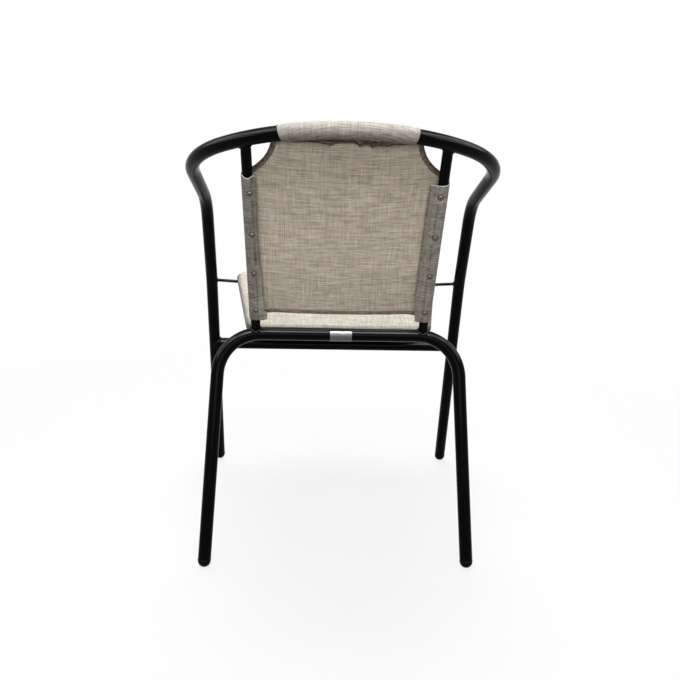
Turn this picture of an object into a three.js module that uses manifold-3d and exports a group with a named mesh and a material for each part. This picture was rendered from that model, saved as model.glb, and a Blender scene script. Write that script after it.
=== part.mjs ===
// Sling patio chair: a stacking chair of bent steel tube with a woven sling back and a woven sling seat.
// Millimetres. +Z is up, -Y is the front, +X is the sitter's left. The origin is on the floor, in the middle.

import * as THREE from 'three';
import { mergeVertices } from 'three/addons/utils/BufferGeometryUtils.js';
import Module from 'manifold-3d';

const wasm = await Module();
wasm.setup();

// Tube sizes
const TUBE_D = 22.2;
const POST_D = 16;
const RING_D = 16;
const ROD_D = 6;
const TUBE_WALL = 1.2;

// Gap left between two pieces that touch
const CLEAR = 0.3;

// The hoop: rear rail of the back and both arms, all in one plane that falls towards the front
const HOOP_REAR_Y = 284.6;
const HOOP_REAR_Z = 730;
const HOOP_FALL = 21.3; // degrees below level
const HOOP_REAR_R = 288;
const HOOP_REAR_TURN = 39.4; // degrees each way from the middle
const HOOP_CORNER_R = 164;
const ARM_HALF_W = 243;
const ARM_REACH = 344.5; // along the plane, from the rear of the hoop to the corner over the front leg
const ARM_END_HALF_W = 240.5;
const ARM_END_R = 116;

// Front legs, from the arm's end past a slight knee to the floor; they splay out from the arm's end
const KNEE_OUT = 4.8;
const KNEE_Y = -132.7;
const KNEE_Z = 441;
const KNEE_R = 239;
const FRONT_FOOT_OUT = 12.8;
const FRONT_FOOT_Y = -289.6;

// Rear legs and the crossbar between them
const REAR_FOOT = new THREE.Vector3(227, 191, 0);
const CROSSBAR_Y = 107.9;
const CROSSBAR_Z = 393.2;
const CROSSBAR_CORNER_X = 202.8;
const CROSSBAR_CORNER_R = 74.3;

// Stretcher between the front legs
const STRETCHER_Z = 298.5;

// Back posts: half distances at the crossbar and under the hoop
const POST_FOOT_X = 141.8;
const POST_TOP_X = 146.8;

// Seat frame: rear corner, shoulder and front corner of its left half, rising above the crossbar.
// The shoulder and the front corner lie in from the arm's end, which leaves room for the rods.
const SEAT_REAR_HALF_W = 150;
const SEAT_SHOULDER_IN = 53.5;
const SEAT_SHOULDER_Y = -142.9;
const SEAT_SHOULDER_RISE = 46.8;
const SEAT_FRONT_IN = 41.5;
const SEAT_FRONT_Y = -252.9;
const SEAT_FRONT_RISE = 39.8;
const SEAT_REAR_R = 24;
const SEAT_SHOULDER_R = 150;
const SEAT_FRONT_R = 72;
const SEAT_SAG = 7;

// Cloth
const CLOTH = 1.2;
const HEM = 2.2; // thickness of the folded lower hem
const HEM_H = 8;
const FLAP_FOOT = 33; // height of the side flaps' lower end along the back, above the crossbar
const PANEL_FOOT = 41;
const FLAP_TOP_DROP = 53; // front and rear of the flap's slanted upper edge, below the post's top
const FLAP_REAR_DROP = 61;
const FLAP_TAIL_W = 17; // from the post's centre to the flap's inner edge
const FLAP_TAIL_DROP = 1.5;
const NOTCH_R = 76; // scooped upper corners, whose centre lies outside and above the post's top
const NOTCH_OUT = 37.2;
const NOTCH_RISE = 13.3;
const SLEEVE_FRONT_X = 108; // half length of the hoop sleeve at its front and at its rear
const SLEEVE_REAR_X = 96;
const SLEEVE_TAIL = 24; // how far the sewn edge hangs below the hoop's centre
const PANEL_OVERLAP = 1; // how far the panel runs up into the sleeve's cloth
const HEM_STEP = 0.8; // height over which the hem thins to plain cloth
const LOW_HEM_BOW_SHARE = 0.22; // of the hoop's bow

// Pop rivets
const RIVET_D = 9.5;
const RIVET_RIM = 0.6; // thickness at the head's edge
const RIVET_CROWN = 1.6;
const RIVET_CROWN_D = 5.7;
const RIVET_DIMPLE_D = 2.3;
const RIVET_DIMPLE = 0.3;
const RIVET_SHANK_D = 4.8;
const RIVET_SHANK = 6;
const RIVET_HOLE_EXTRA = 1;
const BACK_RIVETS = 4;
const BACK_RIVET_FIRST = 51; // up the back, above the crossbar
const BACK_RIVET_STEP = 71.8;
const SEAT_RIVETS = 4;
const SEAT_RIVET_FIRST_SHARE = 0.12; // of the side rail, from its rear end
const SEAT_RIVET_LAST_SHARE = 0.88;

// Foot plugs
const PLUG_FLAT = 0.9; // how much of the dome is cut off where it meets the floor
const PLUG_COLLAR = 2;
const PLUG_STEM = 20;

// Plain band round the middle of the crossbar, open at the top
const BAND_W = 37;
const BAND_X = -2.2;
const BAND_T = 0.5;
const BAND_EDGE = 40; // degrees above level where it stops, behind and in front

// How far a cutting block runs past what it cuts
const OVERRUN = 45;

// How finely round things are faceted
const TUBE_SIDES = 16;
const RING_SIDES = 10;
const THIN_SIDES = 10;
const BEND_ERROR = 0.35; // how far a bend's facets may cut inside its true line
const DOME_STEPS = 6;
const NOTCH_STEPS = 8;
const PANEL_LEVEL_SHARES = [0.2, 0.4, 0.6, 0.75, 0.88, 1];
const PANEL_STEPS = 6;
const WRAP_STEPS = 8;
const SEAT_LOOPS = 3;
const SAME_POINT = 1e-3; // points closer than this are one point

// Looks
const BLACK_PAINT = new THREE.MeshStandardMaterial({ color: 0x0b0b0c, roughness: 0.28, metalness: 0.2 });
const BLACK_PLASTIC = new THREE.MeshStandardMaterial({ color: 0x101010, roughness: 0.55, metalness: 0 });
const WOVEN_CLOTH = new THREE.MeshStandardMaterial({ color: 0xa39985, roughness: 0.85, metalness: 0 });
const RIVET_METAL = new THREE.MeshStandardMaterial({ color: 0x77736a, roughness: 0.35, metalness: 0.9 });
const BAND_FILM = new THREE.MeshStandardMaterial({ color: 0xd6d6d4, roughness: 0.45, metalness: 0 });

const TUBE_R = TUBE_D / 2;
const POST_R = POST_D / 2;
const RING_R = RING_D / 2;
const deg = THREE.MathUtils.degToRad;
const lerp = THREE.MathUtils.lerp;
const vec = (x, y, z) => new THREE.Vector3(x, y, z);
const mirrored = (p) => vec(-p.x, p.y, p.z);

// The seat frame's cloth lies against the band on the crossbar
const SEAT_REAR_Y = CROSSBAR_Y - (TUBE_R + CLEAR + BAND_T) - CLEAR - (RING_R + CLEAR + CLOTH);
const SEAT_REAR = vec(SEAT_REAR_HALF_W, SEAT_REAR_Y, CROSSBAR_Z);
const SHOULDER_X = ARM_END_HALF_W - SEAT_SHOULDER_IN;
const SEAT_SHOULDER = vec(SHOULDER_X, SEAT_SHOULDER_Y, CROSSBAR_Z + SEAT_SHOULDER_RISE);
const SEAT_FRONT = vec(ARM_END_HALF_W - SEAT_FRONT_IN, SEAT_FRONT_Y, CROSSBAR_Z + SEAT_FRONT_RISE);

const KNEE = vec(ARM_END_HALF_W + KNEE_OUT, KNEE_Y, KNEE_Z);
const FRONT_FOOT = vec(ARM_END_HALF_W + FRONT_FOOT_OUT, FRONT_FOOT_Y, 0);

/** A path through corner points with a round bend at each inner corner, stepped only where it bends. */
class BentPath extends THREE.Curve {
  constructor(corners, radii, closed = false) {
    super();
    this.closed = closed;
    this.stations = [];
    const count = corners.length;
    const at = (i) => corners[(i + count) % count];
    if (!closed) this.addStation(at(0), at(1).clone().sub(at(0)).normalize());
    const first = closed ? 0 : 1;
    const last = closed ? count : count - 1;
    for (let i = first; i < last; i++) this.addBend(at(i - 1), at(i), at(i + 1), radii[i - first]);
    if (!closed) this.addStation(at(-1), at(-1).clone().sub(at(-2)).normalize());
  }

  addStation(point, tangent) {
    this.stations.push({ point: point.clone(), tangent: tangent.clone() });
  }

  addBend(before, corner, after, radius) {
    const into = corner.clone().sub(before).normalize();
    const out = after.clone().sub(corner).normalize();
    const turn = into.angleTo(out);
    const start = corner.clone().addScaledVector(into, -radius * Math.tan(turn / 2));
    const inward = out.clone().addScaledVector(into, -Math.cos(turn)).normalize();
    const steps = Math.max(2, Math.ceil(turn / (2 * Math.acos(1 - BEND_ERROR / radius))));
    for (let k = 0; k <= steps; k++) {
      const a = (turn * k) / steps;
      const point = start.clone().addScaledVector(into, radius * Math.sin(a));
      point.addScaledVector(inward, radius * (1 - Math.cos(a)));
      const tangent = into.clone().multiplyScalar(Math.cos(a)).addScaledVector(inward, Math.sin(a));
      this.addStation(point, tangent);
    }
  }

  get segments() {
    return this.closed ? this.stations.length : this.stations.length - 1;
  }

  station(u) {
    return this.stations[Math.round(u * this.segments) % this.stations.length];
  }

  getPoint(u, target = new THREE.Vector3()) {
    return target.copy(this.station(u).point);
  }

  getPointAt(u, target) {
    return this.getPoint(u, target);
  }

  getTangent(u, target = new THREE.Vector3()) {
    return target.copy(this.station(u).tangent);
  }

  getTangentAt(u, target) {
    return this.getTangent(u, target);
  }
}

/** A round bar along a path: extruded where the path is open, a closed loop where it isn't. */
function barAlong(path, radius, sides = TUBE_SIDES) {
  if (path.closed) return new THREE.TubeGeometry(path, path.segments, radius, sides, true);
  const round = new THREE.Shape().absarc(0, 0, radius, 0, 2 * Math.PI);
  return new THREE.ExtrudeGeometry(round, {
    steps: path.segments,
    curveSegments: sides / 2,
    extrudePath: path,
    bevelEnabled: false,
  });
}

/** A straight round bar between two points. */
function barBetween(from, to, radius, sides = TUBE_SIDES) {
  return barAlong(new BentPath([from, to], []), radius, sides);
}

/** Triangles that fill a plane outline, in the outline's own sense. */
function fillOf(outline) {
  const turned = THREE.ShapeUtils.isClockWise(outline);
  return THREE.ShapeUtils.triangulateShape(outline, []).map(([a, b, c]) => (turned ? [a, c, b] : [a, b, c]));
}

/** Triangles that fill a thin strip's outline, which runs out along one side and back along the other. */
function stripFill(count) {
  return Array.from({ length: count / 2 - 1 }, (_, i) => [
    [i, i + 1, count - 2 - i],
    [i, count - 2 - i, count - 1 - i],
  ]).flat();
}

/** Triangles that fill a convex outline, all from its first point. */
function fanFill(count) {
  return Array.from({ length: count - 2 }, (_, i) => [0, i + 1, i + 2]);
}

/** A closed skin over a row of outlines with the same number of points, with a cap at each end. */
function skin(outlines, cap) {
  const around = outlines[0].length;
  const positions = outlines.flat().flatMap((p) => [p.x, p.y, p.z]);
  const index = [];
  for (let i = 0; i + 1 < outlines.length; i++) {
    for (let j = 0; j < around; j++) {
      const a = i * around + j;
      const b = i * around + ((j + 1) % around);
      index.push(a, b, b + around, a, b + around, a + around);
    }
  }
  const last = (outlines.length - 1) * around;
  for (const [a, b, c] of cap) index.push(a, c, b, last + a, last + b, last + c);
  const geometry = new THREE.BufferGeometry();
  geometry.setAttribute('position', new THREE.Float32BufferAttribute(positions, 3));
  geometry.setIndex(index);
  return geometry;
}

/** A closed geometry as a solid that can be joined and cut. */
function solid(geometry) {
  const bare = geometry.clone();
  bare.deleteAttribute('normal');
  bare.deleteAttribute('uv');
  const merged = mergeVertices(bare, SAME_POINT);
  const mesh = new wasm.Mesh({
    numProp: 3,
    vertProperties: new Float32Array(merged.attributes.position.array),
    triVerts: new Uint32Array(merged.index.array),
  });
  mesh.merge();
  const made = new wasm.Manifold(mesh);
  return made.volume() < 0 ? solid(flipped(merged)) : made;
}

function flipped(geometry) {
  const turned = geometry.clone();
  const index = turned.index.array;
  for (let i = 0; i < index.length; i += 3) [index[i + 1], index[i + 2]] = [index[i + 2], index[i + 1]];
  return turned;
}

function geometryOf(manifold) {
  const mesh = manifold.getMesh();
  const geometry = new THREE.BufferGeometry();
  geometry.setAttribute('position', new THREE.BufferAttribute(mesh.vertProperties, 3));
  geometry.setIndex(new THREE.BufferAttribute(mesh.triVerts, 1));
  const flat = geometry.toNonIndexed();
  flat.computeVertexNormals();
  return flat;
}

/** The largest single body of a solid, so that a cut leaves no crumbs. */
function mainBody(manifold) {
  return manifold.decompose().reduce((best, part) => (part.volume() > best.volume() ? part : best));
}

function cut(base, ...tools) {
  return mainBody(tools.reduce((left, tool) => left.subtract(solid(tool)), base));
}

const chair = new THREE.Group();

function add(name, shape, material) {
  const geometry = shape instanceof THREE.BufferGeometry ? shape : geometryOf(shape);
  const mesh = new THREE.Mesh(geometry, material);
  mesh.name = name;
  chair.add(mesh);
  return mesh;
}

/** A point in the hoop's plane: across, and forwards down the slope from the rear of the hoop. */
function onHoopPlane(across, forward) {
  const fall = deg(HOOP_FALL);
  return vec(across, HOOP_REAR_Y - forward * Math.cos(fall), HOOP_REAR_Z - forward * Math.sin(fall));
}

/** The hoop's centre at a distance across, within its rear arc. */
function hoopAt(across) {
  return onHoopPlane(across, HOOP_REAR_R - Math.sqrt(HOOP_REAR_R ** 2 - across ** 2));
}

// The back's own frame: across, rearwards from the posts, and up along the posts from the crossbar
const postTop = hoopAt(POST_TOP_X);
const BACK_LEAN = Math.atan2(postTop.y - CROSSBAR_Y, postTop.z - CROSSBAR_Z);
const BACK_HEIGHT = Math.hypot(postTop.y - CROSSBAR_Y, postTop.z - CROSSBAR_Z);
const BACK_REARWARD = vec(0, Math.cos(BACK_LEAN), -Math.sin(BACK_LEAN));
const BACK_UPWARD = vec(0, Math.sin(BACK_LEAN), Math.cos(BACK_LEAN));

function onBack(across, rearward, up) {
  const point = vec(across, CROSSBAR_Y, CROSSBAR_Z);
  return point.addScaledVector(BACK_REARWARD, rearward).addScaledVector(BACK_UPWARD, up);
}

function inBackFrame(point) {
  const from = point.clone().sub(vec(0, CROSSBAR_Y, CROSSBAR_Z));
  return { across: point.x, rearward: from.dot(BACK_REARWARD), up: from.dot(BACK_UPWARD) };
}

const postX = (up) => lerp(POST_FOOT_X, POST_TOP_X, up / BACK_HEIGHT);
const FLAP_TOP = BACK_HEIGHT - FLAP_TOP_DROP;
const FLAP_REAR_TOP = BACK_HEIGHT - FLAP_REAR_DROP;

/** Turns a geometry made along +Y so that it points along a direction, then moves it. */
function aimed(geometry, direction, place) {
  const turn = new THREE.Quaternion().setFromUnitVectors(vec(0, 1, 0), direction.clone().normalize());
  return geometry.clone().applyQuaternion(turn).translate(place.x, place.y, place.z);
}

// Where a leg's axis meets its foot plug
function legEnd(foot, next) {
  const up = next.clone().sub(foot).normalize();
  const domeCentre = foot.clone().addScaledVector(up, (TUBE_R - PLUG_FLAT) / up.z);
  const tubeStart = domeCentre.clone().addScaledVector(up, PLUG_COLLAR + CLEAR);
  return { up, domeCentre, tubeStart };
}

const frontEnds = [FRONT_FOOT, mirrored(FRONT_FOOT)].map((foot) => {
  return legEnd(foot, foot.x > 0 ? KNEE : mirrored(KNEE));
});
const rearCorner = vec(CROSSBAR_CORNER_X, CROSSBAR_Y, CROSSBAR_Z);
const rearEnds = [REAR_FOOT, mirrored(REAR_FOOT)].map((foot) => {
  return legEnd(foot, foot.x > 0 ? rearCorner : mirrored(rearCorner));
});

// Paths of the three bent tubes
const rearVirtual = HOOP_REAR_R / Math.cos(deg(HOOP_REAR_TURN)) - HOOP_REAR_R;
const cornerForward = ARM_HALF_W * Math.tan(deg(HOOP_REAR_TURN)) - rearVirtual;
const hoopCorner = onHoopPlane(ARM_HALF_W, cornerForward);
const armEnd = onHoopPlane(ARM_END_HALF_W, ARM_REACH);
const leftHalf = [frontEnds[0].tubeStart, KNEE, armEnd, hoopCorner];
const rightHalf = [hoopCorner, armEnd, KNEE].map(mirrored).concat(frontEnds[1].tubeStart);
const hoopPath = new BentPath(
  [...leftHalf, onHoopPlane(0, -rearVirtual), ...rightHalf],
  [KNEE_R, ARM_END_R, HOOP_CORNER_R, HOOP_REAR_R, HOOP_CORNER_R, ARM_END_R, KNEE_R],
);
const rearPath = new BentPath(
  [rearEnds[0].tubeStart, rearCorner, mirrored(rearCorner), rearEnds[1].tubeStart],
  [CROSSBAR_CORNER_R, CROSSBAR_CORNER_R],
);
const seatPath = new BentPath(
  [SEAT_REAR, SEAT_SHOULDER, SEAT_FRONT, mirrored(SEAT_FRONT), mirrored(SEAT_SHOULDER), mirrored(SEAT_REAR)],
  [SEAT_REAR_R, SEAT_SHOULDER_R, SEAT_FRONT_R, SEAT_FRONT_R, SEAT_SHOULDER_R, SEAT_REAR_R],
  true,
);

/** The bore that takes a foot plug's stem. */
function plugBore(end) {
  const depth = PLUG_STEM + CLEAR;
  const bore = new THREE.CylinderGeometry(TUBE_R - TUBE_WALL, TUBE_R - TUBE_WALL, 2 * depth, TUBE_SIDES);
  return aimed(bore, end.up, end.tubeStart);
}

/** A rounded plug with a stem, cut flat where it stands on the floor. */
function footPlug(end) {
  const stemR = TUBE_R - TUBE_WALL - CLEAR;
  const profile = [];
  for (let k = 0; k <= DOME_STEPS; k++) {
    const a = (k / DOME_STEPS) * (Math.PI / 2);
    profile.push(new THREE.Vector2(TUBE_R * Math.sin(a), -TUBE_R * Math.cos(a)));
  }
  profile[0].x = 0;
  profile.push(new THREE.Vector2(TUBE_R, PLUG_COLLAR));
  profile.push(new THREE.Vector2(stemR, PLUG_COLLAR));
  profile.push(new THREE.Vector2(stemR, PLUG_COLLAR + PLUG_STEM));
  profile.push(new THREE.Vector2(0, PLUG_COLLAR + PLUG_STEM));
  const plug = aimed(new THREE.LatheGeometry(profile, TUBE_SIDES), end.up, end.domeCentre);
  const floor = new THREE.BoxGeometry(2 * OVERRUN, 2 * OVERRUN, OVERRUN);
  return cut(solid(plug), floor.translate(end.domeCentre.x, end.domeCentre.y, -OVERRUN / 2));
}

/** A set pop rivet: flange and crown outside, shank going in along -Y. */
function rivetGeometry() {
  const points = [[0, -RIVET_SHANK], [RIVET_SHANK_D / 2, -RIVET_SHANK], [RIVET_SHANK_D / 2, 0]];
  points.push([RIVET_D / 2, 0], [RIVET_D / 2, RIVET_RIM], [RIVET_CROWN_D / 2, RIVET_CROWN]);
  points.push([RIVET_DIMPLE_D / 2, RIVET_CROWN], [0, RIVET_CROWN - RIVET_DIMPLE]);
  return new THREE.LatheGeometry(points.map(([x, y]) => new THREE.Vector2(x, y)), THIN_SIDES);
}

function rivetHole() {
  const r = (RIVET_SHANK_D + RIVET_HOLE_EXTRA) / 2;
  return new THREE.CylinderGeometry(r, r, 2 * (RIVET_SHANK + CLEAR), THIN_SIDES);
}

// Where the rivets sit: a place on the cloth's outer face and the way the head looks
const clothOver = (radius) => radius + CLEAR + CLOTH + CLEAR;

function backRivets(side) {
  return Array.from({ length: BACK_RIVETS }, (_, i) => {
    const up = BACK_RIVET_FIRST + i * BACK_RIVET_STEP;
    return { place: onBack(side * postX(up), clothOver(POST_R), up), out: BACK_REARWARD };
  });
}

function seatRivets(side) {
  const rail = SEAT_SHOULDER.clone().sub(SEAT_REAR);
  const along = rail.clone().normalize();
  const down = vec(0, 0, -1).addScaledVector(along, along.z).normalize();
  return Array.from({ length: SEAT_RIVETS }, (_, i) => {
    const share = lerp(SEAT_RIVET_FIRST_SHARE, SEAT_RIVET_LAST_SHARE, i / (SEAT_RIVETS - 1));
    const place = SEAT_REAR.clone().addScaledVector(rail, share).addScaledVector(down, clothOver(RING_R));
    return side > 0 ? { place, out: down } : { place: mirrored(place), out: mirrored(down) };
  });
}

const holesFor = (rivets) => rivets.map(({ place, out }) => aimed(rivetHole(), out, place));

// Frame tubes
const hoopTube = cut(solid(barAlong(hoopPath, TUBE_R)), ...frontEnds.map(plugBore));
const rearTube = cut(solid(barAlong(rearPath, TUBE_R)), ...rearEnds.map(plugBore));
add('arm_and_front_leg_tube', hoopTube, BLACK_PAINT);
add('rear_leg_tube', rearTube, BLACK_PAINT);

const roundHoop = barAlong(hoopPath, TUBE_R + CLEAR);
const roundCrossbar = barAlong(rearPath, TUBE_R + CLEAR);

/** The front leg's centre at a height below the knee. */
function frontLegAt(z) {
  return FRONT_FOOT.clone().lerp(KNEE, z / KNEE.z);
}

const stretcherEnd = frontLegAt(STRETCHER_Z);
const stretcher = barBetween(stretcherEnd, mirrored(stretcherEnd), TUBE_R);
add('front_stretcher', cut(solid(stretcher), roundHoop), BLACK_PAINT);

const sides = { left: 1, right: -1 };

/** A back post's round bar, from the crossbar's centre to the hoop's. */
function postBar(sign, radius) {
  return barBetween(onBack(sign * POST_FOOT_X, 0, 0), onBack(sign * POST_TOP_X, 0, BACK_HEIGHT), radius);
}
for (const [side, sign] of Object.entries(sides)) {
  const holes = holesFor(backRivets(sign));
  const post = cut(solid(postBar(sign, POST_R)), roundHoop, roundCrossbar, ...holes);
  add(`back_post_${side}`, post, BLACK_PAINT);
}

// Seat frame ring and the rods that tie it to the front legs
const allSeatRivets = [...seatRivets(1), ...seatRivets(-1)];
const seatRing = solid(barAlong(seatPath, RING_R, RING_SIDES));
add('seat_frame_ring', cut(seatRing, ...holesFor(allSeatRivets)), BLACK_PAINT);

/** The centre of the seat frame's left side at a distance along Y. */
function seatRailAt(y) {
  const half = seatPath.stations.filter(({ point }) => point.x > 0).map(({ point }) => point);
  const next = half.findIndex((p) => p.y <= y);
  if (next < 1) return half[Math.max(next, 0)].clone();
  const [a, b] = [half[next - 1], half[next]];
  return a.clone().lerp(b, (a.y - y) / (a.y - b.y));
}

const roundRing = barAlong(seatPath, RING_R + CLEAR, RING_SIDES);

/** A rod from the front leg's knee to the seat frame beside it. */
function seatRod(sign, radius) {
  const [outer, inner] = [KNEE, seatRailAt(KNEE.y)].map((p) => vec(sign * p.x, p.y, p.z));
  return barBetween(outer, inner, radius, THIN_SIDES);
}
for (const [side, sign] of Object.entries(sides)) {
  add(`seat_rod_${side}`, cut(solid(seatRod(sign, ROD_D / 2)), roundHoop, roundRing), BLACK_PAINT);
}

// Foot plugs
const ends = { front: frontEnds, rear: rearEnds };
for (const [place, pair] of Object.entries(ends)) {
  Object.keys(sides).forEach((side, i) => {
    add(`foot_plug_${place}_${side}`, footPlug(pair[i]), BLACK_PLASTIC);
  });
}

/** Half of the back cloth's section at a share of its height: flap, round the post, panel to the middle. */
function backSection(share) {
  const wrapR = POST_R + CLEAR + CLOTH / 2;
  const clothTop = (across) => hoopUp(Math.min(across, SLEEVE_FRONT_X)) + PANEL_OVERLAP;
  const flapUp = lerp(FLAP_FOOT, FLAP_TOP, share);
  const x = postX(flapUp);
  const points = [
    { across: x - FLAP_TAIL_W, rearward: wrapR - FLAP_TAIL_DROP, up: flapUp },
    { across: x, rearward: wrapR, up: flapUp },
  ];
  for (let k = 1; k < WRAP_STEPS; k++) {
    const a = Math.PI / 2 - (Math.PI * k) / WRAP_STEPS;
    points.push({ across: x + wrapR * Math.cos(a), rearward: wrapR * Math.sin(a), up: flapUp });
  }
  for (let k = 0; k <= PANEL_STEPS; k++) {
    const across = x * (1 - k / PANEL_STEPS);
    const edge = THREE.MathUtils.smoothstep(across, SLEEVE_FRONT_X, x);
    const top = lerp(clothTop(across), FLAP_TOP, edge);
    const low = lerp(PANEL_FOOT, FLAP_FOOT, edge);
    const bow = (hoopRearward(across) - TUBE_R + POST_R) * lerp(LOW_HEM_BOW_SHARE, 1, share ** 2);
    points.push({ across, rearward: bow * (1 - edge) - wrapR, up: lerp(low, top, share) });
  }
  return points;
}

const hoopUp = (across) => inBackFrame(hoopAt(across)).up;
const hoopRearward = (across) => inBackFrame(hoopAt(across)).rearward;

/** A thin sheet's outline: the line moved half a thickness each way, out along one side and back. */
function thickened(line, thickness) {
  const offset = (sign) => line.map((p, i) => {
    const a = line[Math.max(i - 1, 0)];
    const b = line[Math.min(i + 1, line.length - 1)];
    const along = new THREE.Vector2(b.across - a.across, b.rearward - a.rearward).normalize();
    const shift = (sign * thickness) / 2;
    return { across: p.across - along.y * shift, rearward: p.rearward + along.x * shift, up: p.up };
  });
  return [...offset(1), ...offset(-1).reverse()];
}

/** The back cloth without its hoop sleeve: flaps, post wraps and panel. */
function backSheet() {
  const height = hoopUp(0) - PANEL_FOOT;
  const levels = [[0, HEM], [HEM_H / height, HEM], [(HEM_H + HEM_STEP) / height, CLOTH]];
  levels.push(...PANEL_LEVEL_SHARES.map((share) => [share, CLOTH]));
  const outlines = levels.map(([share, thickness]) => {
    const half = backSection(share);
    const other = half.slice(0, -1).reverse().map((p) => ({ ...p, across: -p.across }));
    return thickened([...half, ...other], thickness);
  });
  const rows = outlines.map((line) => line.map((p) => onBack(p.across, p.rearward, p.up)));
  return skin(rows, stripFill(rows[0].length));
}

/** The sleeve over the hoop: a drop-shaped section whose sewn tail hangs below the tube. */
function hoopSleeve() {
  const r = TUBE_R + CLEAR + CLOTH;
  const tip = new THREE.Vector2(-r + CLOTH / 2, -SLEEVE_TAIL);
  const tangentTurn = Math.acos(r / tip.length());
  const lowRear = tip.angle() - 2 * Math.PI + tangentTurn;
  const outline = [tip];
  for (let k = 0; k <= TUBE_SIDES; k++) {
    const a = lerp(lowRear, Math.PI, k / TUBE_SIDES);
    outline.push(new THREE.Vector2(r * Math.cos(a), r * Math.sin(a)));
  }
  const rings = hoopPath.stations.filter(({ point, tangent }) => {
    return Math.abs(point.x) < POST_TOP_X && Math.abs(tangent.x) > Math.cos(deg(HOOP_REAR_TURN));
  });
  return skin(rings.map(({ point, tangent }) => {
    const rear = BACK_REARWARD.clone().addScaledVector(tangent, -BACK_REARWARD.dot(tangent)).normalize();
    const up = rear.clone().cross(tangent);
    if (up.z < 0) up.negate();
    return outline.map((p) => point.clone().addScaledVector(rear, p.x).addScaledVector(up, p.y));
  }), fillOf(outline));
}

/** Moves a geometry drawn in x, y and z into the back's place, along three of its directions. */
function placedOnBack(geometry, xAxis, yAxis, zAxis) {
  const frame = new THREE.Matrix4().makeBasis(xAxis, yAxis, zAxis);
  return geometry.applyMatrix4(frame).translate(0, CROSSBAR_Y, CROSSBAR_Z);
}

const ACROSS = vec(1, 0, 0);
const HIGH = BACK_HEIGHT + OVERRUN;
const WIDE = POST_TOP_X + OVERRUN;
const mirroredGeometry = (geometry) => geometry.clone().scale(-1, 1, 1);

/** What is cut away for the scooped corner between post and hoop, right through the cloth. */
function cornerNotch() {
  const x = POST_TOP_X + NOTCH_OUT;
  const up = BACK_HEIGHT + NOTCH_RISE;
  const shape = new THREE.Shape();
  shape.moveTo(x - NOTCH_R, HIGH);
  shape.lineTo(WIDE, HIGH);
  shape.lineTo(WIDE, up - NOTCH_R);
  shape.lineTo(x, up - NOTCH_R);
  shape.absarc(x, up, NOTCH_R, -Math.PI / 2, -Math.PI, true);
  const block = new THREE.ExtrudeGeometry(shape, {
    depth: 2 * OVERRUN,
    curveSegments: NOTCH_STEPS,
    bevelEnabled: false,
  });
  return placedOnBack(block.translate(0, 0, -OVERRUN), ACROSS, BACK_UPWARD, BACK_REARWARD.clone().negate());
}

/** What is cut away above a side flap, whose upper edge drops towards the rear. */
function aboveFlap(fromRearward, fromAcross, toAcross) {
  const wrap = POST_R + CLEAR + CLOTH;
  const start = lerp(FLAP_TOP, FLAP_REAR_TOP, (fromRearward + wrap) / (2 * wrap));
  const corners = [[fromRearward, start], [wrap, FLAP_REAR_TOP], [OVERRUN, FLAP_REAR_TOP], [OVERRUN, HIGH]];
  corners.push([fromRearward, HIGH]);
  const shape = new THREE.Shape(corners.map(([x, y]) => new THREE.Vector2(x, y)));
  const block = new THREE.ExtrudeGeometry(shape, { depth: toAcross - fromAcross, bevelEnabled: false });
  return placedOnBack(block.translate(0, 0, fromAcross), BACK_REARWARD, BACK_UPWARD, ACROSS);
}

/** What is cut away beyond the slanted end of the hoop sleeve. */
function beyondSleeve() {
  const { rearward, up } = inBackFrame(hoopAt(SLEEVE_FRONT_X));
  const front = [SLEEVE_FRONT_X, rearward - TUBE_D];
  const rear = [SLEEVE_REAR_X, rearward + TUBE_D];
  const corners = [front, [WIDE, front[1]], [WIDE, rear[1]], rear];
  const shape = new THREE.Shape(corners.map(([x, y]) => new THREE.Vector2(x, y)));
  const block = new THREE.ExtrudeGeometry(shape, { depth: HIGH, bevelEnabled: false });
  return placedOnBack(block.translate(0, 0, up - SLEEVE_TAIL - CLOTH), ACROSS, BACK_REARWARD, BACK_UPWARD);
}

const flapCuts = [
  aboveFlap(-POST_D, POST_TOP_X, WIDE),
  aboveFlap(0, POST_FOOT_X - FLAP_TAIL_W - HEM, POST_TOP_X),
];
const bothSides = (geometries) => [...geometries, ...geometries.map(mirroredGeometry)];
const backHoles = holesFor([...backRivets(1), ...backRivets(-1)]);
const sleeve = cut(solid(hoopSleeve()), ...bothSides([beyondSleeve()]));
const roundPosts = Object.values(sides).map((sign) => postBar(sign, POST_R + CLEAR));
const backCuts = [roundHoop, ...roundPosts, ...bothSides([cornerNotch(), ...flapCuts]), ...backHoles];
add('back_sling', cut(solid(backSheet()).add(sleeve), ...backCuts), WOVEN_CLOTH);

/** The seat cloth's spread, a thin disc in loops from its middle out to the frame's centre line. */
function seatSheet() {
  const rim = seatPath.stations.map(({ point }) => point);
  const middle = vec(0, (SEAT_REAR.y + SEAT_FRONT.y) / 2, 0);
  const loop = (share, shift) => rim.map((p) => {
    const point = middle.clone().lerp(p, share);
    const slack = SEAT_SAG * (1 - share ** 2);
    const over = RING_R + CLEAR + CLOTH / 2 + shift;
    return point.setZ((share < 1 ? seatRailAt(point.y).z : p.z) + over - slack);
  });
  const shares = Array.from({ length: SEAT_LOOPS }, (_, i) => (i + 1) / SEAT_LOOPS);
  const under = shares.map((share) => loop(share, -CLOTH / 2));
  const over = shares.map((share) => loop(share, CLOTH / 2)).reverse();
  return skin([...under, ...over], fanFill(rim.length));
}

const seatWrap = barAlong(seatPath, RING_R + CLEAR + CLOTH, RING_SIDES);
const rodHoles = Object.values(sides).map((sign) => solid(seatRod(sign, ROD_D / 2 + CLEAR)));
const seatCloth = rodHoles.reduce((left, rod) => left.subtract(rod), solid(seatSheet()).add(solid(seatWrap)));
add('seat_sling', cut(seatCloth, roundRing, ...holesFor(allSeatRivets)), WOVEN_CLOTH);

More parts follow.
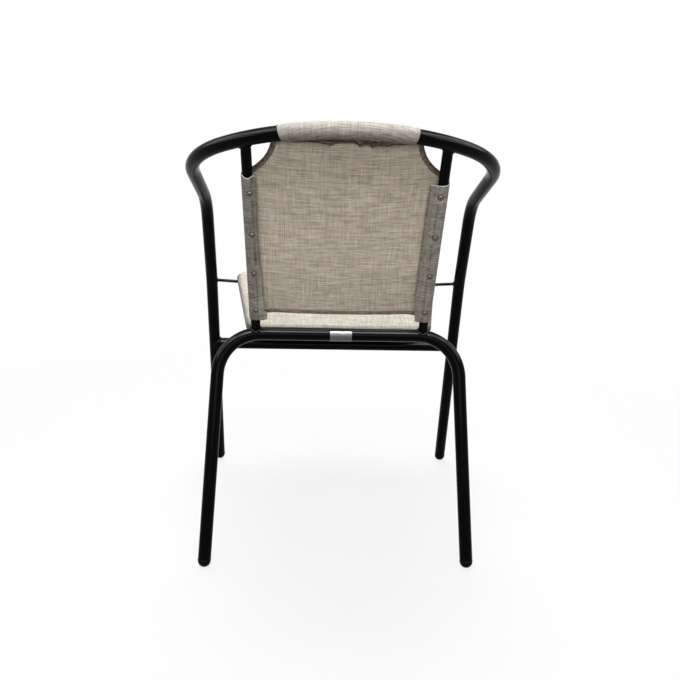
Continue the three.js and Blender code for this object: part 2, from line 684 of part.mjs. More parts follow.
// Rivets
for (const [side, sign] of Object.entries(sides)) {
  const sets = { back_rivet: backRivets(sign), seat_rivet: seatRivets(sign) };
  for (const [name, rivets] of Object.entries(sets)) {
    rivets.forEach(({ place, out }, i) => {
      add(`${name}_${side}_${i + 1}`, aimed(rivetGeometry(), out, place), RIVET_METAL);
    });
  }
}

/** The plain band, from its upper edge behind the crossbar, under it, to its upper edge in front. */
function crossbarBand() {
  const ends = [deg(BAND_EDGE), -deg(BAND_EDGE) - Math.PI];
  const shape = new THREE.Shape();
  shape.absarc(0, 0, TUBE_R + CLEAR + BAND_T, ends[0], ends[1], true);
  shape.absarc(0, 0, TUBE_R + CLEAR, ends[1], ends[0], false);
  const band = new THREE.ExtrudeGeometry(shape, {
    depth: BAND_W,
    curveSegments: TUBE_SIDES,
    bevelEnabled: false,
  });
  const frame = new THREE.Matrix4().makeBasis(vec(0, 1, 0), vec(0, 0, 1), vec(1, 0, 0));
  return band.translate(0, 0, -BAND_W / 2).applyMatrix4(frame);
}

const band = add('crossbar_band', crossbarBand(), BAND_FILM);
band.position.set(BAND_X, CROSSBAR_Y, CROSSBAR_Z);

export default chair;
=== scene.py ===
"""A stacking patio chair of bent black tube, with a woven sling back and seat, seen from behind."""

import math

import bpy
import numpy as np
from mathutils import Matrix, Vector


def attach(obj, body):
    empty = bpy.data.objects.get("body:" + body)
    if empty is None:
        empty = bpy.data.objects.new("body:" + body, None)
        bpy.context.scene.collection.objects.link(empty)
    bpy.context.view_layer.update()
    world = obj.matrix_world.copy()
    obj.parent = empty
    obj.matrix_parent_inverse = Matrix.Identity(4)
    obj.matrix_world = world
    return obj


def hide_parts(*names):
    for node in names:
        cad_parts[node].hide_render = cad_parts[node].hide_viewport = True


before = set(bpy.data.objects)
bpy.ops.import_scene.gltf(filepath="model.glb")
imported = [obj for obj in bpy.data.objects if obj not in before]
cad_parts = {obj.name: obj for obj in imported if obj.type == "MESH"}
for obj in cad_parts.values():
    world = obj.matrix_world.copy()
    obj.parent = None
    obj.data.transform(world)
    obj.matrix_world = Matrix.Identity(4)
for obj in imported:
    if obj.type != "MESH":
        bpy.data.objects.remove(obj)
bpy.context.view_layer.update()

# Tubes, in metres as everything here is
TUBE_R, POST_R, RING_R, ROD_R = 0.0111, 0.008, 0.008, 0.003
CLEAR, CLOTH = 0.0003, 0.0012
CLOTH_SHELL = CLOTH * 0.85  # the cloth's thickness where it is drawn
SHARP_EDGE = math.radians(50)

# The hoop and arms lie in one plane that falls to the front
HOOP_REAR_Y, HOOP_REAR_Z, HOOP_FALL = 0.2846, 0.730, math.radians(21.3)
HOOP_REAR_R, HOOP_REAR_TURN, HOOP_CORNER_R = 0.288, math.radians(39.4), 0.164
ARM_HALF_W, ARM_REACH, ARM_END_HALF_W, ARM_END_R = 0.243, 0.3445, 0.2405, 0.116
KNEE_R, CROSSBAR_CORNER_R = 0.239, 0.0743
CROSSBAR_Y, CROSSBAR_Z, STRETCHER_Z = 0.1079, 0.3932, 0.2985
POST_FOOT_X, POST_TOP_X = 0.1418, 0.1468
STRETCHER_BEAD, POST_FOOT_BEAD, POST_TOP_BEAD, ROD_BEAD = 0.0027, 0.0023, 0.0021, 0.0016

# Back sling, measured across, rearwards from the posts and up along them from the crossbar
FLAP_FOOT, PANEL_FOOT = 0.0348, 0.041
NOTCH_X, NOTCH_UP, NOTCH_R = 0.184, 0.3642, 0.076  # the circle that scoops out each upper corner
SLEEVE_FRONT_X, SLEEVE_SEAM, SLEEVE_EDGE = 0.108, 0.0152, 0.0205
LOW_HEM_BOW_SHARE, HEM_H, BINDING_W = 0.22, 0.008, 0.0090
HEM_HALF_THICK, BINDING_HALF_THICK, CUT_EDGE_R = 0.0009, 0.0013, 0.00062
PATCH_FOOT = 0.262  # above this height the cloth's columns lean in to follow the scooped corners

# Half length of the sleeve at shares of the way from its front over the hoop to its free edge
SLEEVE_ENDS = {
    1: ((0.0, 0.108), (0.178, 0.0978), (0.66, 0.0918), (0.86, 0.0900), (1.0, 0.0856)),
    -1: ((0.0, 0.108), (0.178, 0.0978), (0.66, 0.0932), (1.0, 0.0935)),
}
OVER_SHARE, SEAM_SHARE = 0.66, 0.86  # where the sleeve leaves the hoop, and where it is sewn down
# The sleeve's free edge: place across, depth below the hoop's centre; the dips are pleats caught in its seam
SLEEVE_HANG = (
    (-0.0970, 0.0178), (-0.0867, 0.0203), (-0.0787, 0.0216), (-0.0725, 0.0222), (-0.0627, 0.0265),
    (-0.0539, 0.0263), (-0.0460, 0.0269), (-0.0393, 0.0300), (-0.0300, 0.0262), (-0.0239, 0.0272),
    (-0.0190, 0.0296), (-0.0150, 0.0258), (-0.0099, 0.0238), (0.0085, 0.0243), (0.0202, 0.0248),
    (0.0233, 0.0272), (0.0270, 0.0289), (0.0320, 0.0274), (0.0400, 0.0249), (0.0483, 0.0232),
    (0.0583, 0.0219), (0.0682, 0.0208), (0.0857, 0.0201), (0.0911, 0.0178),
)

# Upper edge of each flap: share of the way round the post and on to the flap's inner edge, height
FLAP_CUT = {
    1: ((0.0, 0.299), (0.35, 0.297), (0.55, 0.293), (0.68, 0.2925), (0.88, 0.2955), (1.0, 0.2900)),
    -1: ((0.0, 0.299), (0.33, 0.288), (0.58, 0.2870), (0.80, 0.2862), (1.0, 0.2835)),
}
# Inner edge of each flap: height up the back, distance in from the post
FLAP_EDGE = {
    1: ((0.0335, 0.0180), (0.0355, 0.0205), (0.0482, 0.0208), (0.0518, 0.0158), (0.072, 0.0150),
        (0.121, 0.0134), (0.185, 0.0111), (0.300, 0.0123)),
    -1: ((0.033, 0.0165), (0.057, 0.0201), (0.150, 0.0200), (0.199, 0.0199), (0.281, 0.0186),
         (0.300, 0.0180)),
}
# How far each flap's inner edge drops towards the panel, at its foot and above it
FLAP_FOOT_FALL, FLAP_FALL = 0.0036, {1: 0.0140, -1: 0.0100}
RIVET_HOLLOW, RIVET_RIDGE, RIVET_FOLD = 0.0012, 0.0011, 0.0006
CREASE_DEPTH, CREASE_IN = 0.0007, 0.0058  # the crease down each flap between its rivets
SEAM_LIFT, EDGE_LIFT = 0.0014, 0.0016  # how far behind the panel the sleeve's seam and free edge lie
BACK_RIVET_UP = (0.0544, 0.1262, 0.1980, 0.2680)
BACK_RIVET_IN = 0.0027  # how far inside the posts' centres the rivets sit
SEAT_RIVET_SHARES = tuple(0.12 + (0.88 - 0.12) * i / 3 for i in range(4))

SEAT_SAG, SEAT_TAIL = 0.007, 0.017
BAND_W, BAND_X, BAND_T, BAND_EDGE, BAND_LIFT = 0.037, -0.0022, 0.0005, math.radians(40), 0.00035
PLUG_FLAT, PLUG_COLLAR, PLUG_STEP, PLUG_DEPTH = 0.0009, 0.002, 0.0016, 0.012
PLUG_LIP, PLUG_LIP_AT = 0.0003, 0.0010
YARN_PITCH, STITCH_PITCH = 0.0016, 0.0042
HEM_STITCH_STOP, HEM_STITCH_LIFT = 0.022, 0.0021  # short of the posts, and behind the panel's middle


def vec(x, y, z):
    return np.stack(np.broadcast_arrays(x, y, z), axis=-1).astype(float)


def pair(a, b):
    return np.stack(np.broadcast_arrays(a, b), axis=-1)


def unit(v):
    return v / np.linalg.norm(v, axis=-1, keepdims=True)


def mirrored(p):
    return np.asarray(p) * [-1, 1, 1]


def lerp(a, b, t):
    return a + (b - a) * t


def smooth(low, high, x):
    t = np.clip((x - low) / (high - low), 0, 1)
    return t * t * (3 - 2 * t)


def hump(x, width):
    """A soft bump of height 1 at x = 0."""
    return np.exp(-((x / width) ** 2))


def waves(x, seed, longest, count=5):
    """A smooth irregular wave of about unit height along x."""
    rng = np.random.default_rng(seed)
    total = np.zeros_like(np.asarray(x, dtype=float))
    for k in range(count):
        length = longest / (1 + 0.8 * k)
        total = total + np.sin(2 * np.pi * (x / length + rng.random())) * rng.uniform(0.5, 1) / (1 + 0.5 * k)
    return total / 1.6


def read(table, place):
    """The value at a place in a table of (place, value) pairs, straight between them."""
    return np.interp(place, *zip(*table))


def travelled(points):
    """The distance along a line of points to each of them."""
    return np.concatenate([[0], np.cumsum(np.linalg.norm(np.diff(points, axis=0), axis=1))])


# Paths of the tubes


def bent_path(corners, radii, closed=False, bend_step=math.radians(2.5), straight_step=0.02):
    """Points and tangents along a path with a round bend at each inner corner."""
    count = len(corners)
    at = lambda i: np.asarray(corners[i % count])
    points, tangents = [], []

    def run_to(p, t):
        gap = np.linalg.norm(p - points[-1]) if points else math.inf
        if gap < 1e-6:
            return
        if points and gap > 1.5 * straight_step and np.dot(unit(p - points[-1]), tangents[-1]) > 0.99999:
            steps = int(math.ceil(gap / straight_step))
            points.extend([lerp(points[-1], p, k / steps) for k in range(1, steps)])
            tangents.extend([t] * (steps - 1))
        points.append(p)
        tangents.append(t)

    if not closed:
        run_to(at(0), unit(at(1) - at(0)))
    for i, radius in zip(range(count) if closed else range(1, count - 1), radii):
        into, out = unit(at(i) - at(i - 1)), unit(at(i + 1) - at(i))
        turn = math.acos(np.clip(np.dot(into, out), -1, 1))
        start = at(i) - into * radius * math.tan(turn / 2)
        inward = unit(out - into * math.cos(turn))
        steps = max(2, int(math.ceil(turn / bend_step)))
        for a in turn * np.arange(steps + 1) / steps:
            point = start + into * radius * math.sin(a) + inward * radius * (1 - math.cos(a))
            run_to(point, into * math.cos(a) + inward * math.sin(a))
    if closed:
        run_to(points[0], tangents[0])
        points.pop()
        tangents.pop()
    else:
        run_to(at(count - 1), unit(at(count - 1) - at(count - 2)))
    return np.array(points), np.array(tangents)


def on_hoop_plane(across, forward):
    fallen = forward * math.sin(HOOP_FALL)
    return vec(across, HOOP_REAR_Y - forward * math.cos(HOOP_FALL), HOOP_REAR_Z - fallen)


def hoop_at(across):
    return on_hoop_plane(across, HOOP_REAR_R - np.sqrt(HOOP_REAR_R**2 - across**2))


def hoop_tangent(across):
    """The hoop's direction, towards +X."""
    forward = across / np.sqrt(HOOP_REAR_R**2 - across**2)
    return unit(on_hoop_plane(1, forward) - on_hoop_plane(0, 0))


def leg_end(foot, after):
    up = unit(after - foot)
    dome = foot + up * (TUBE_R - PLUG_FLAT) / up[2]
    return {"up": up, "dome": dome, "start": dome + up * (PLUG_COLLAR + CLEAR)}


KNEE = vec(ARM_END_HALF_W + 0.0048, -0.1327, 0.441)
FRONT_FOOT = vec(ARM_END_HALF_W + 0.0128, -0.2896, 0)
REAR_FOOT = vec(0.227, 0.191, 0)
REAR_CORNER = vec(0.2028, CROSSBAR_Y, CROSSBAR_Z)
front_ends = [leg_end(FRONT_FOOT, KNEE), leg_end(mirrored(FRONT_FOOT), mirrored(KNEE))]
rear_ends = [leg_end(REAR_FOOT, REAR_CORNER), leg_end(mirrored(REAR_FOOT), mirrored(REAR_CORNER))]

rear_virtual = HOOP_REAR_R / math.cos(HOOP_REAR_TURN) - HOOP_REAR_R
corner_forward = ARM_HALF_W * math.tan(HOOP_REAR_TURN) - rear_virtual
left_half = [
    front_ends[0]["start"], KNEE,
    on_hoop_plane(ARM_END_HALF_W, ARM_REACH), on_hoop_plane(ARM_HALF_W, corner_forward),
]
right_half = [mirrored(p) for p in left_half[:0:-1]] + [front_ends[1]["start"]]
hoop_path = bent_path(
    left_half + [on_hoop_plane(0, -rear_virtual)] + right_half,
    [KNEE_R, ARM_END_R, HOOP_CORNER_R, HOOP_REAR_R, HOOP_CORNER_R, ARM_END_R, KNEE_R],
)
rear_path = bent_path(
    [rear_ends[0]["start"], REAR_CORNER, mirrored(REAR_CORNER), rear_ends[1]["start"]],
    [CROSSBAR_CORNER_R, CROSSBAR_CORNER_R],
)

SEAT_REAR_Y = CROSSBAR_Y - (TUBE_R + CLEAR + BAND_T) - CLEAR - (RING_R + CLEAR + CLOTH)
SEAT_REAR = vec(0.150, SEAT_REAR_Y, CROSSBAR_Z)
SEAT_SHOULDER = vec(0.187, -0.1429, CROSSBAR_Z + 0.0468)
SEAT_FRONT = vec(0.199, -0.2529, CROSSBAR_Z + 0.0398)
seat_half = [SEAT_REAR, SEAT_SHOULDER, SEAT_FRONT]
seat_path = bent_path(
    seat_half + [mirrored(p) for p in seat_half[::-1]], [0.024, 0.150, 0.079, 0.079, 0.150, 0.024],
    closed=True, bend_step=math.radians(3), straight_step=0.006,
)

post_top = hoop_at(POST_TOP_X)
BACK_LEAN = math.atan2(post_top[1] - CROSSBAR_Y, post_top[2] - CROSSBAR_Z)
BACK_HEIGHT = math.hypot(post_top[1] - CROSSBAR_Y, post_top[2] - CROSSBAR_Z)
REARWARD = vec(0, math.cos(BACK_LEAN), -math.sin(BACK_LEAN))
UPWARD = vec(0, math.sin(BACK_LEAN), math.cos(BACK_LEAN))
WRAP_R = POST_R + CLEAR + CLOTH / 2
SLEEVE_R = TUBE_R + CLEAR + CLOTH / 2
RING_WRAP_R = RING_R + CLEAR + CLOTH / 2


def on_back(across, rearward, up):
    base = vec(across, CROSSBAR_Y, CROSSBAR_Z)
    return base + np.asarray(rearward)[..., None] * REARWARD + np.asarray(up)[..., None] * UPWARD


def post_x(up):
    return lerp(POST_FOOT_X, POST_TOP_X, np.asarray(up) / BACK_HEIGHT)


def hoop_in_back(across):
    """Rearward and up of the hoop's centre at a distance across."""
    offset = hoop_at(np.asarray(across)) - [0, CROSSBAR_Y, CROSSBAR_Z]
    return offset @ REARWARD, offset @ UPWARD


# Meshes


def in_scene(name, data):
    """An object of the given mesh, lamp or camera, in the scene."""
    made = bpy.data.objects.new(name, data)
    bpy.context.scene.collection.objects.link(made)
    return made


def mesh_piece(name, parts, material, uvs=None, masks=None, sharp=None):
    """A smooth object from a list of (points, faces), with a UV map and masks on its points where given."""
    points, faces, offset = [], [], 0
    for part_points, part_faces in parts:
        points.append(np.asarray(part_points).reshape(-1, 3))
        faces.extend(tuple(int(i) + offset for i in face) for face in part_faces)
        offset += len(points[-1])
    mesh = bpy.data.meshes.new(name)
    mesh.from_pydata(np.concatenate(points).tolist(), [], faces)
    if uvs is not None:
        layer = mesh.uv_layers.new(name="cloth")
        loops = np.empty(len(mesh.loops), dtype=np.int32)
        mesh.loops.foreach_get("vertex_index", loops)
        layer.data.foreach_set("uv", np.concatenate(uvs)[loops].astype(np.float32).ravel())
    for mask, values in (masks or {}).items():
        attribute = mesh.attributes.new(mask, "FLOAT", "POINT")
        attribute.data.foreach_set("value", np.concatenate(values).astype(np.float32))
    mesh.polygons.foreach_set("use_smooth", np.ones(len(mesh.polygons), dtype=bool))
    if sharp is not None:
        mesh.set_sharp_from_angle(angle=sharp)
    mesh.materials.append(material)
    mesh.validate()
    return in_scene(name, mesh)


def thickened(piece):
    """A sheet of cloth given its thickness, half to each side."""
    shell = piece.modifiers.new("cloth thickness", "SOLIDIFY")
    shell.thickness, shell.offset = CLOTH_SHELL, 0.0
    return shell


def skin(rings, closed=False, caps=True):
    """Points and faces over rows of rings that each run round the direction of travel."""
    rows, around = len(rings), len(rings[0])
    faces = []
    for i in range(rows if closed else rows - 1):
        a, b = i * around, ((i + 1) % rows) * around
        faces.extend((a + j, a + (j + 1) % around, b + (j + 1) % around, b + j) for j in range(around))
    if caps and not closed:
        faces.append(tuple(range(around - 1, -1, -1)))
        faces.append(tuple((rows - 1) * around + j for j in range(around)))
    return np.concatenate(rings), faces


def rings_along(path, radius, sides, hold=None):
    """Round rings along a path. Their zero angle is carried along it, or held towards one direction."""
    points, tangents = path
    angles = np.linspace(0, 2 * math.pi, sides, endpoint=False)
    first = hold if hold is not None else (vec(1, 0, 0) if abs(tangents[0][0]) < 0.9 else vec(0, 1, 0))
    cos, sin = np.cos(angles)[:, None], np.sin(angles)[:, None]
    normal, rings = first, []
    for p, t, r in zip(points, tangents, np.broadcast_to(radius, len(points))):
        normal = first if hold is not None else normal
        normal = unit(normal - t * np.dot(normal, t))
        rings.append(p + r * (cos * normal + sin * np.cross(t, normal)))
    return rings


def tube(path, radius, sides=40):
    return skin(rings_along(path, radius, sides))


def reach_of(origins, direction, cylinder, leaving):
    """How far each ray goes until it leaves, or meets, an endless cylinder (point, direction, radius)."""
    point, axis, radius = cylinder
    w = origins - point
    w = w - np.outer(w @ axis, axis)
    d = direction - axis * np.dot(direction, axis)
    a, b, c = d @ d, w @ d, np.sum(w * w, axis=1) - radius**2
    root = np.sqrt(np.maximum(b * b - a * c, 0))
    return (-b + (root if leaving else -root)) / a


def coped_bar(start, end, radius, start_on, end_on, sides):
    """A straight bar whose ends are shaped to the tubes they meet, and its two saddle curves."""
    direction = unit(end - start)
    around = rings_along((np.array([start]), np.array([direction])), radius, sides)[0]
    near = around + reach_of(around, direction, start_on, True)[:, None] * direction
    far = around + reach_of(around, direction, end_on, False)[:, None] * direction
    return skin([lerp(near, far, k / 12) for k in range(13)]), near, far, direction


def weld_bead(saddle, direction, size, seed, ripples=26, sides=10):
    """A closed bead laid along a saddle curve, with the ripples a hand leaves."""
    rows = 140
    at = np.linspace(0, len(saddle), rows, endpoint=False)
    low = np.floor(at).astype(int)
    share = (at - low)[:, None]
    points = saddle[low % len(saddle)] * (1 - share) + saddle[(low + 1) % len(saddle)] * share
    tangents = unit(np.roll(points, -1, axis=0) - np.roll(points, 1, axis=0))
    turn = np.linspace(0, 2 * math.pi, rows, endpoint=False)
    grown = 0.07 * np.abs(np.sin(ripples * turn / 2)) + 0.07 * waves(turn / (2 * math.pi), seed, 0.5)
    grown *= np.minimum(1, np.minimum(turn, 2 * math.pi - turn) * 4)
    return skin(rings_along((points, tangents), size * (1 + grown), sides, hold=direction), closed=True)


def lathe(profile, direction, place, steps=40):
    """A shape turned about its axis, from (radius, height) points that run up its outside."""
    axis = unit(np.asarray(direction, dtype=float))
    side = unit(np.cross(axis, vec(1, 0, 0) if abs(axis[0]) < 0.9 else vec(0, 1, 0)))
    angles = np.linspace(0, 2 * math.pi, steps, endpoint=False)
    rim = np.cos(angles)[:, None] * side + np.sin(angles)[:, None] * np.cross(axis, side)
    return skin([place + axis * height + max(radius, 2e-5) * rim for radius, height in profile])


def grid_faces(grid):
    """Faces over a grid of point numbers; the normal is columns x rows."""
    corners = np.stack([grid[:-1, :-1], grid[:-1, 1:], grid[1:, 1:], grid[1:, :-1]], axis=-1)
    return corners.reshape(-1, 4).tolist()


def rear_normals(grid):
    """Unit normals of a grid of cloth, on its rear side."""
    normals = unit(np.cross(np.gradient(grid, axis=1), np.gradient(grid, axis=0)))
    return normals * np.sign(normals @ REARWARD)[..., None]


def strip_along(points, side, normal, half_width, half_thick, sides=14):
    """A flat strip with round edges, such as a folded hem, by the ways of its width and its thickness."""
    angles = np.linspace(0, 2 * math.pi, sides, endpoint=False)
    flat = half_width * np.sign(np.cos(angles)) * np.abs(np.cos(angles)) ** 0.6
    domed = half_thick * np.sign(np.sin(angles)) * np.abs(np.sin(angles)) ** 0.8
    rings = [p + flat[:, None] * s + domed[:, None] * n for p, s, n in zip(points, side, normal)]
    return skin(rings), pair(travelled(points)[:, None], flat).reshape(-1, 2)


def outward(part):
    """A closed part with its faces turned outwards."""
    points, faces = part
    centre, volume = points.mean(axis=0), 0.0
    for face in faces:
        a, *rest = points[list(face)] - centre
        volume += sum(np.dot(a, np.cross(b, c)) for b, c in zip(rest, rest[1:]))
    return (points, faces) if volume > 0 else (points, [face[::-1] for face in faces])


# Materials


class Graph:
    """Short ways to place and join nodes in one tree."""

    def __init__(self, tree):
        self.tree = tree

    def put(self, socket, value):
        """Joins a node or one of its outputs to an input, or gives the input a plain value."""
        value = value.outputs[0] if isinstance(value, bpy.types.Node) else value
        if isinstance(value, bpy.types.NodeSocket):
            self.tree.links.new(value, socket)
        elif value is not None:
            socket.default_value = value

    def node(self, kind, *values, named=None, **settings):
        """A node with its settings, with values at its first inputs in order and at others by name."""
        made = self.tree.nodes.new(kind)
        for key, value in settings.items():
            setattr(made, key, value)
        for socket, value in zip(made.inputs, values):
            self.put(socket, value)
        return self.fill(made, named or {})

    def fill(self, made, named):
        """Puts values at the named inputs of a node."""
        for label, value in named.items():
            self.put(made.inputs[label], value)
        return made

    def math(self, operation, a, b=None, clamp=False):
        return self.node("ShaderNodeMath", a, b, operation=operation, use_clamp=clamp).outputs[0]

    def plus(self, a, b, clamp=False):
        return self.math("ADD", a, b, clamp)

    def minus(self, a, b):
        return self.math("SUBTRACT", a, b)

    def times(self, a, b, clamp=False):
        return self.math("MULTIPLY", a, b, clamp)

    def mix(self, share, a, b, blend="MIX"):
        made = self.node("ShaderNodeMix", share, *[None] * 5, a, b, data_type="RGBA", blend_type=blend)
        return made.outputs[2]

    def tinted(self, colour, by):
        return self.mix(1.0, colour, by, "MULTIPLY")

    def ramp(self, value, low, high, to_low=0.0, to_high=1.0):
        return self.node("ShaderNodeMapRange", value, low, high, to_low, to_high).outputs[0]

    def noise(self, vector, scale, detail, roughness):
        named = {"Vector": vector, "Scale": scale, "Detail": detail, "Roughness": roughness}
        return self.node("ShaderNodeTexNoise", named=named).outputs["Fac"]

    def bump(self, height, strength, distance):
        named = {"Strength": strength, "Distance": distance, "Height": height}
        return self.node("ShaderNodeBump", named=named)


SOCKETS = {"colour": "Color", "value": "Float", "vector": "Vector", "mesh": "Geometry"}
SURFACE = {"Color": "colour", "Roughness": "value", "Height": "value"}


def new_tree(kind, name, inputs, outputs):
    """An empty tree with named sockets, as its graph, its group inputs and its group outputs."""
    tree = bpy.data.node_groups.new(name, kind)
    for way, sockets in (("INPUT", inputs), ("OUTPUT", outputs)):
        for label, sort in sockets.items():
            tree.interface.new_socket(name=label, in_out=way, socket_type="NodeSocket" + SOCKETS[sort])
    graph = Graph(tree)
    return graph, graph.node("NodeGroupInput").outputs, graph.node("NodeGroupOutput").inputs


def paint(r, g, b):
    """An sRGB colour of 0 to 255 as shader numbers."""
    linear = lambda c: ((c / 255 + 0.055) / 1.055) ** 2.4 if c > 10 else c / 255 / 12.92
    return linear(r), linear(g), linear(b), 1.0


def fine_grain_group():
    """Small bumps, a faint mottle and settled dust for a painted, moulded or rolled surface."""
    numbers = ("Grain Scale", "Mottle Scale", "Dust Amount", "Rough Low", "Rough High")
    inputs = {"Vector": "vector", "Base": "colour", "Dust": "colour"} | dict.fromkeys(numbers, "value")
    g, given, out = new_tree("ShaderNodeTree", "fine grain", inputs, SURFACE)
    grain = g.noise(given["Vector"], given["Grain Scale"], 2.0, 0.55)
    mottle = g.noise(given["Vector"], given["Mottle Scale"], 4.0, 0.6)
    specks = g.ramp(g.noise(given["Vector"], 260.0, 3.0, 0.7), 0.62, 0.78)
    dust = g.times(g.times(specks, g.ramp(mottle, 0.42, 0.68)), given["Dust Amount"], clamp=True)
    rough = g.ramp(mottle, 0.3, 0.7, given["Rough Low"], given["Rough High"])
    g.put(out["Color"], g.mix(dust, given["Base"], given["Dust"]))
    g.put(out["Roughness"], g.plus(rough, g.times(dust, 0.4), clamp=True))
    g.put(out["Height"], g.plus(grain, g.times(mottle, 0.6)))
    return g.tree


def sling_weave_group():
    """A plain weave of slubbed yarns on cloth coordinates in metres: its colour, roughness and height."""
    inputs = {"Cloth": "vector", "Pale Yarn": "colour", "Dark Yarn": "colour"}
    inputs |= dict.fromkeys(("Pitch", "Weft Slub", "Warp Slub", "Gap Shade"), "value")
    g, given, out = new_tree("ShaderNodeTree", "sling weave", inputs, SURFACE)
    pitch = g.node("ShaderNodeCombineXYZ", *[given["Pitch"]] * 3)
    cells = g.node("ShaderNodeVectorMath", given["Cloth"], pitch, operation="DIVIDE")
    u, v, _ = g.node("ShaderNodeSeparateXYZ", cells).outputs
    u_yarn, v_yarn = g.math("FLOOR", u), g.math("FLOOR", v)
    over = g.math("PINGPONG", g.plus(u_yarn, v_yarn), 1.0)

    def arch(x):
        centred = g.minus(g.math("FRACT", x), 0.5)
        return g.minus(1.0, g.times(g.times(centred, centred), 3.2))

    def yarn_tone(index, along, stretch, seed, slub):
        at = g.node("ShaderNodeCombineXYZ", g.times(index, 7.31), g.times(along, stretch), seed)
        return g.times(g.minus(g.noise(at, 1.0, 2.0, 0.55), 0.5), slub)

    def crossing(bow, other):
        return g.times(bow, g.plus(0.35, g.times(other, 0.65)))

    def picked(where_over, elsewhere):
        return g.node("ShaderNodeMix", over, None, elsewhere, where_over, data_type="FLOAT").outputs[0]

    warp_tone = yarn_tone(u_yarn, v, 0.05, 3.7, given["Warp Slub"])
    weft_tone = yarn_tone(v_yarn, u, 0.055, 11.3, given["Weft Slub"])
    bow_u, bow_v = arch(u), arch(v)
    height, tone = picked(crossing(bow_u, bow_v), crossing(bow_v, bow_u)), picked(warp_tone, weft_tone)
    both = g.plus(g.times(tone, 0.7), g.times(g.plus(warp_tone, weft_tone), 0.5))
    colour = g.mix(g.ramp(both, -0.30, 0.30), given["Dark Yarn"], given["Pale Yarn"])
    # Painted shade: the colour is darkened in the low gaps between the yarns
    gap_shade = g.node("ShaderNodeCombineColor", *[g.ramp(height, 0.25, 0.8, given["Gap Shade"])] * 3)
    g.put(out["Color"], g.tinted(colour, gap_shade))
    g.put(out["Roughness"], g.ramp(tone, -0.2, 0.2, 0.72, 0.9))
    g.put(out["Height"], g.plus(height, g.times(tone, 0.5)))
    return g.tree


FINE_GRAIN, SLING_WEAVE = fine_grain_group(), sling_weave_group()


def new_material(name):
    material = bpy.data.materials.new(name)
    material.use_nodes = True
    return material, Graph(material.node_tree), material.node_tree.nodes["Principled BSDF"]


def placed_group(graph, tree, **values):
    named = {label.replace("_", " "): value for label, value in values.items()}
    return graph.node("ShaderNodeGroup", named=named, node_tree=tree).outputs


def grained(name, base, dust, specular=0.5, metallic=0.0, bump=(0.15, 0.0002), **values):
    """A material with the fine grain effect in Object coordinates."""
    material, g, shader = new_material(name)
    where = g.node("ShaderNodeTexCoord").outputs["Object"]
    grain = placed_group(g, FINE_GRAIN, Vector=where, Base=paint(*base), Dust=paint(*dust), **values)
    g.fill(shader, {
        "Base Color": grain["Color"], "Roughness": grain["Roughness"], "Normal": g.bump(grain["Height"], *bump),
        "Specular IOR Level": specular, "Metallic": metallic,
    })
    return material


black_paint = grained(
    "black powder coat", (2, 2, 2), (80, 76, 70), specular=0.035, bump=(0.07, 0.00025),
    Grain_Scale=650.0, Mottle_Scale=16.0, Dust_Amount=0.05, Rough_Low=0.14, Rough_High=0.2,
)
black_plastic = grained(
    "moulded foot plastic", (4, 4, 4), (80, 76, 70), specular=0.04, bump=(0.2, 0.0003),
    Grain_Scale=1400.0, Mottle_Scale=30.0, Dust_Amount=0.12, Rough_Low=0.3, Rough_High=0.4,
)
rivet_metal = grained(
    "dull rivet metal", (100, 98, 92), (60, 56, 50), metallic=0.9, bump=(0.2, 0.00015),
    Grain_Scale=1800.0, Mottle_Scale=260.0, Dust_Amount=0.6, Rough_Low=0.24, Rough_High=0.38,
)
# The flange's dark colour is painted shade round the rivet's crown
shadowed_rivet_flange = grained(
    "tarnished rivet flange", (44, 41, 36), (30, 28, 24), specular=0.12, bump=(0.3, 0.00015),
    Grain_Scale=1800.0, Mottle_Scale=260.0, Dust_Amount=0.8, Rough_Low=0.42, Rough_High=0.6,
)
band_film = grained(
    "pale band film", (46, 45, 44), (34, 33, 31), specular=0.8, bump=(0.08, 0.0002),
    Grain_Scale=500.0, Mottle_Scale=60.0, Dust_Amount=0.2, Rough_Low=0.34, Rough_High=0.42,
)
sewing_thread = grained(
    "sewing thread", (132, 123, 107), (90, 83, 72), specular=0.3, bump=(0.4, 0.0002),
    Grain_Scale=2600.0, Mottle_Scale=200.0, Dust_Amount=0.5, Rough_Low=0.6, Rough_High=0.75,
)


# What the cloth's colour is multiplied by where it is tinted at random, where light through it is painted in as
# a warm tint, and where shade is painted in
ROSY, OLIVE = (1.035, 0.972, 0.96, 1), (0.975, 1.01, 0.925, 1)
LIT_THROUGH, SHADED = (1.06, 0.985, 0.92, 1), (0.10, 0.085, 0.07, 1)


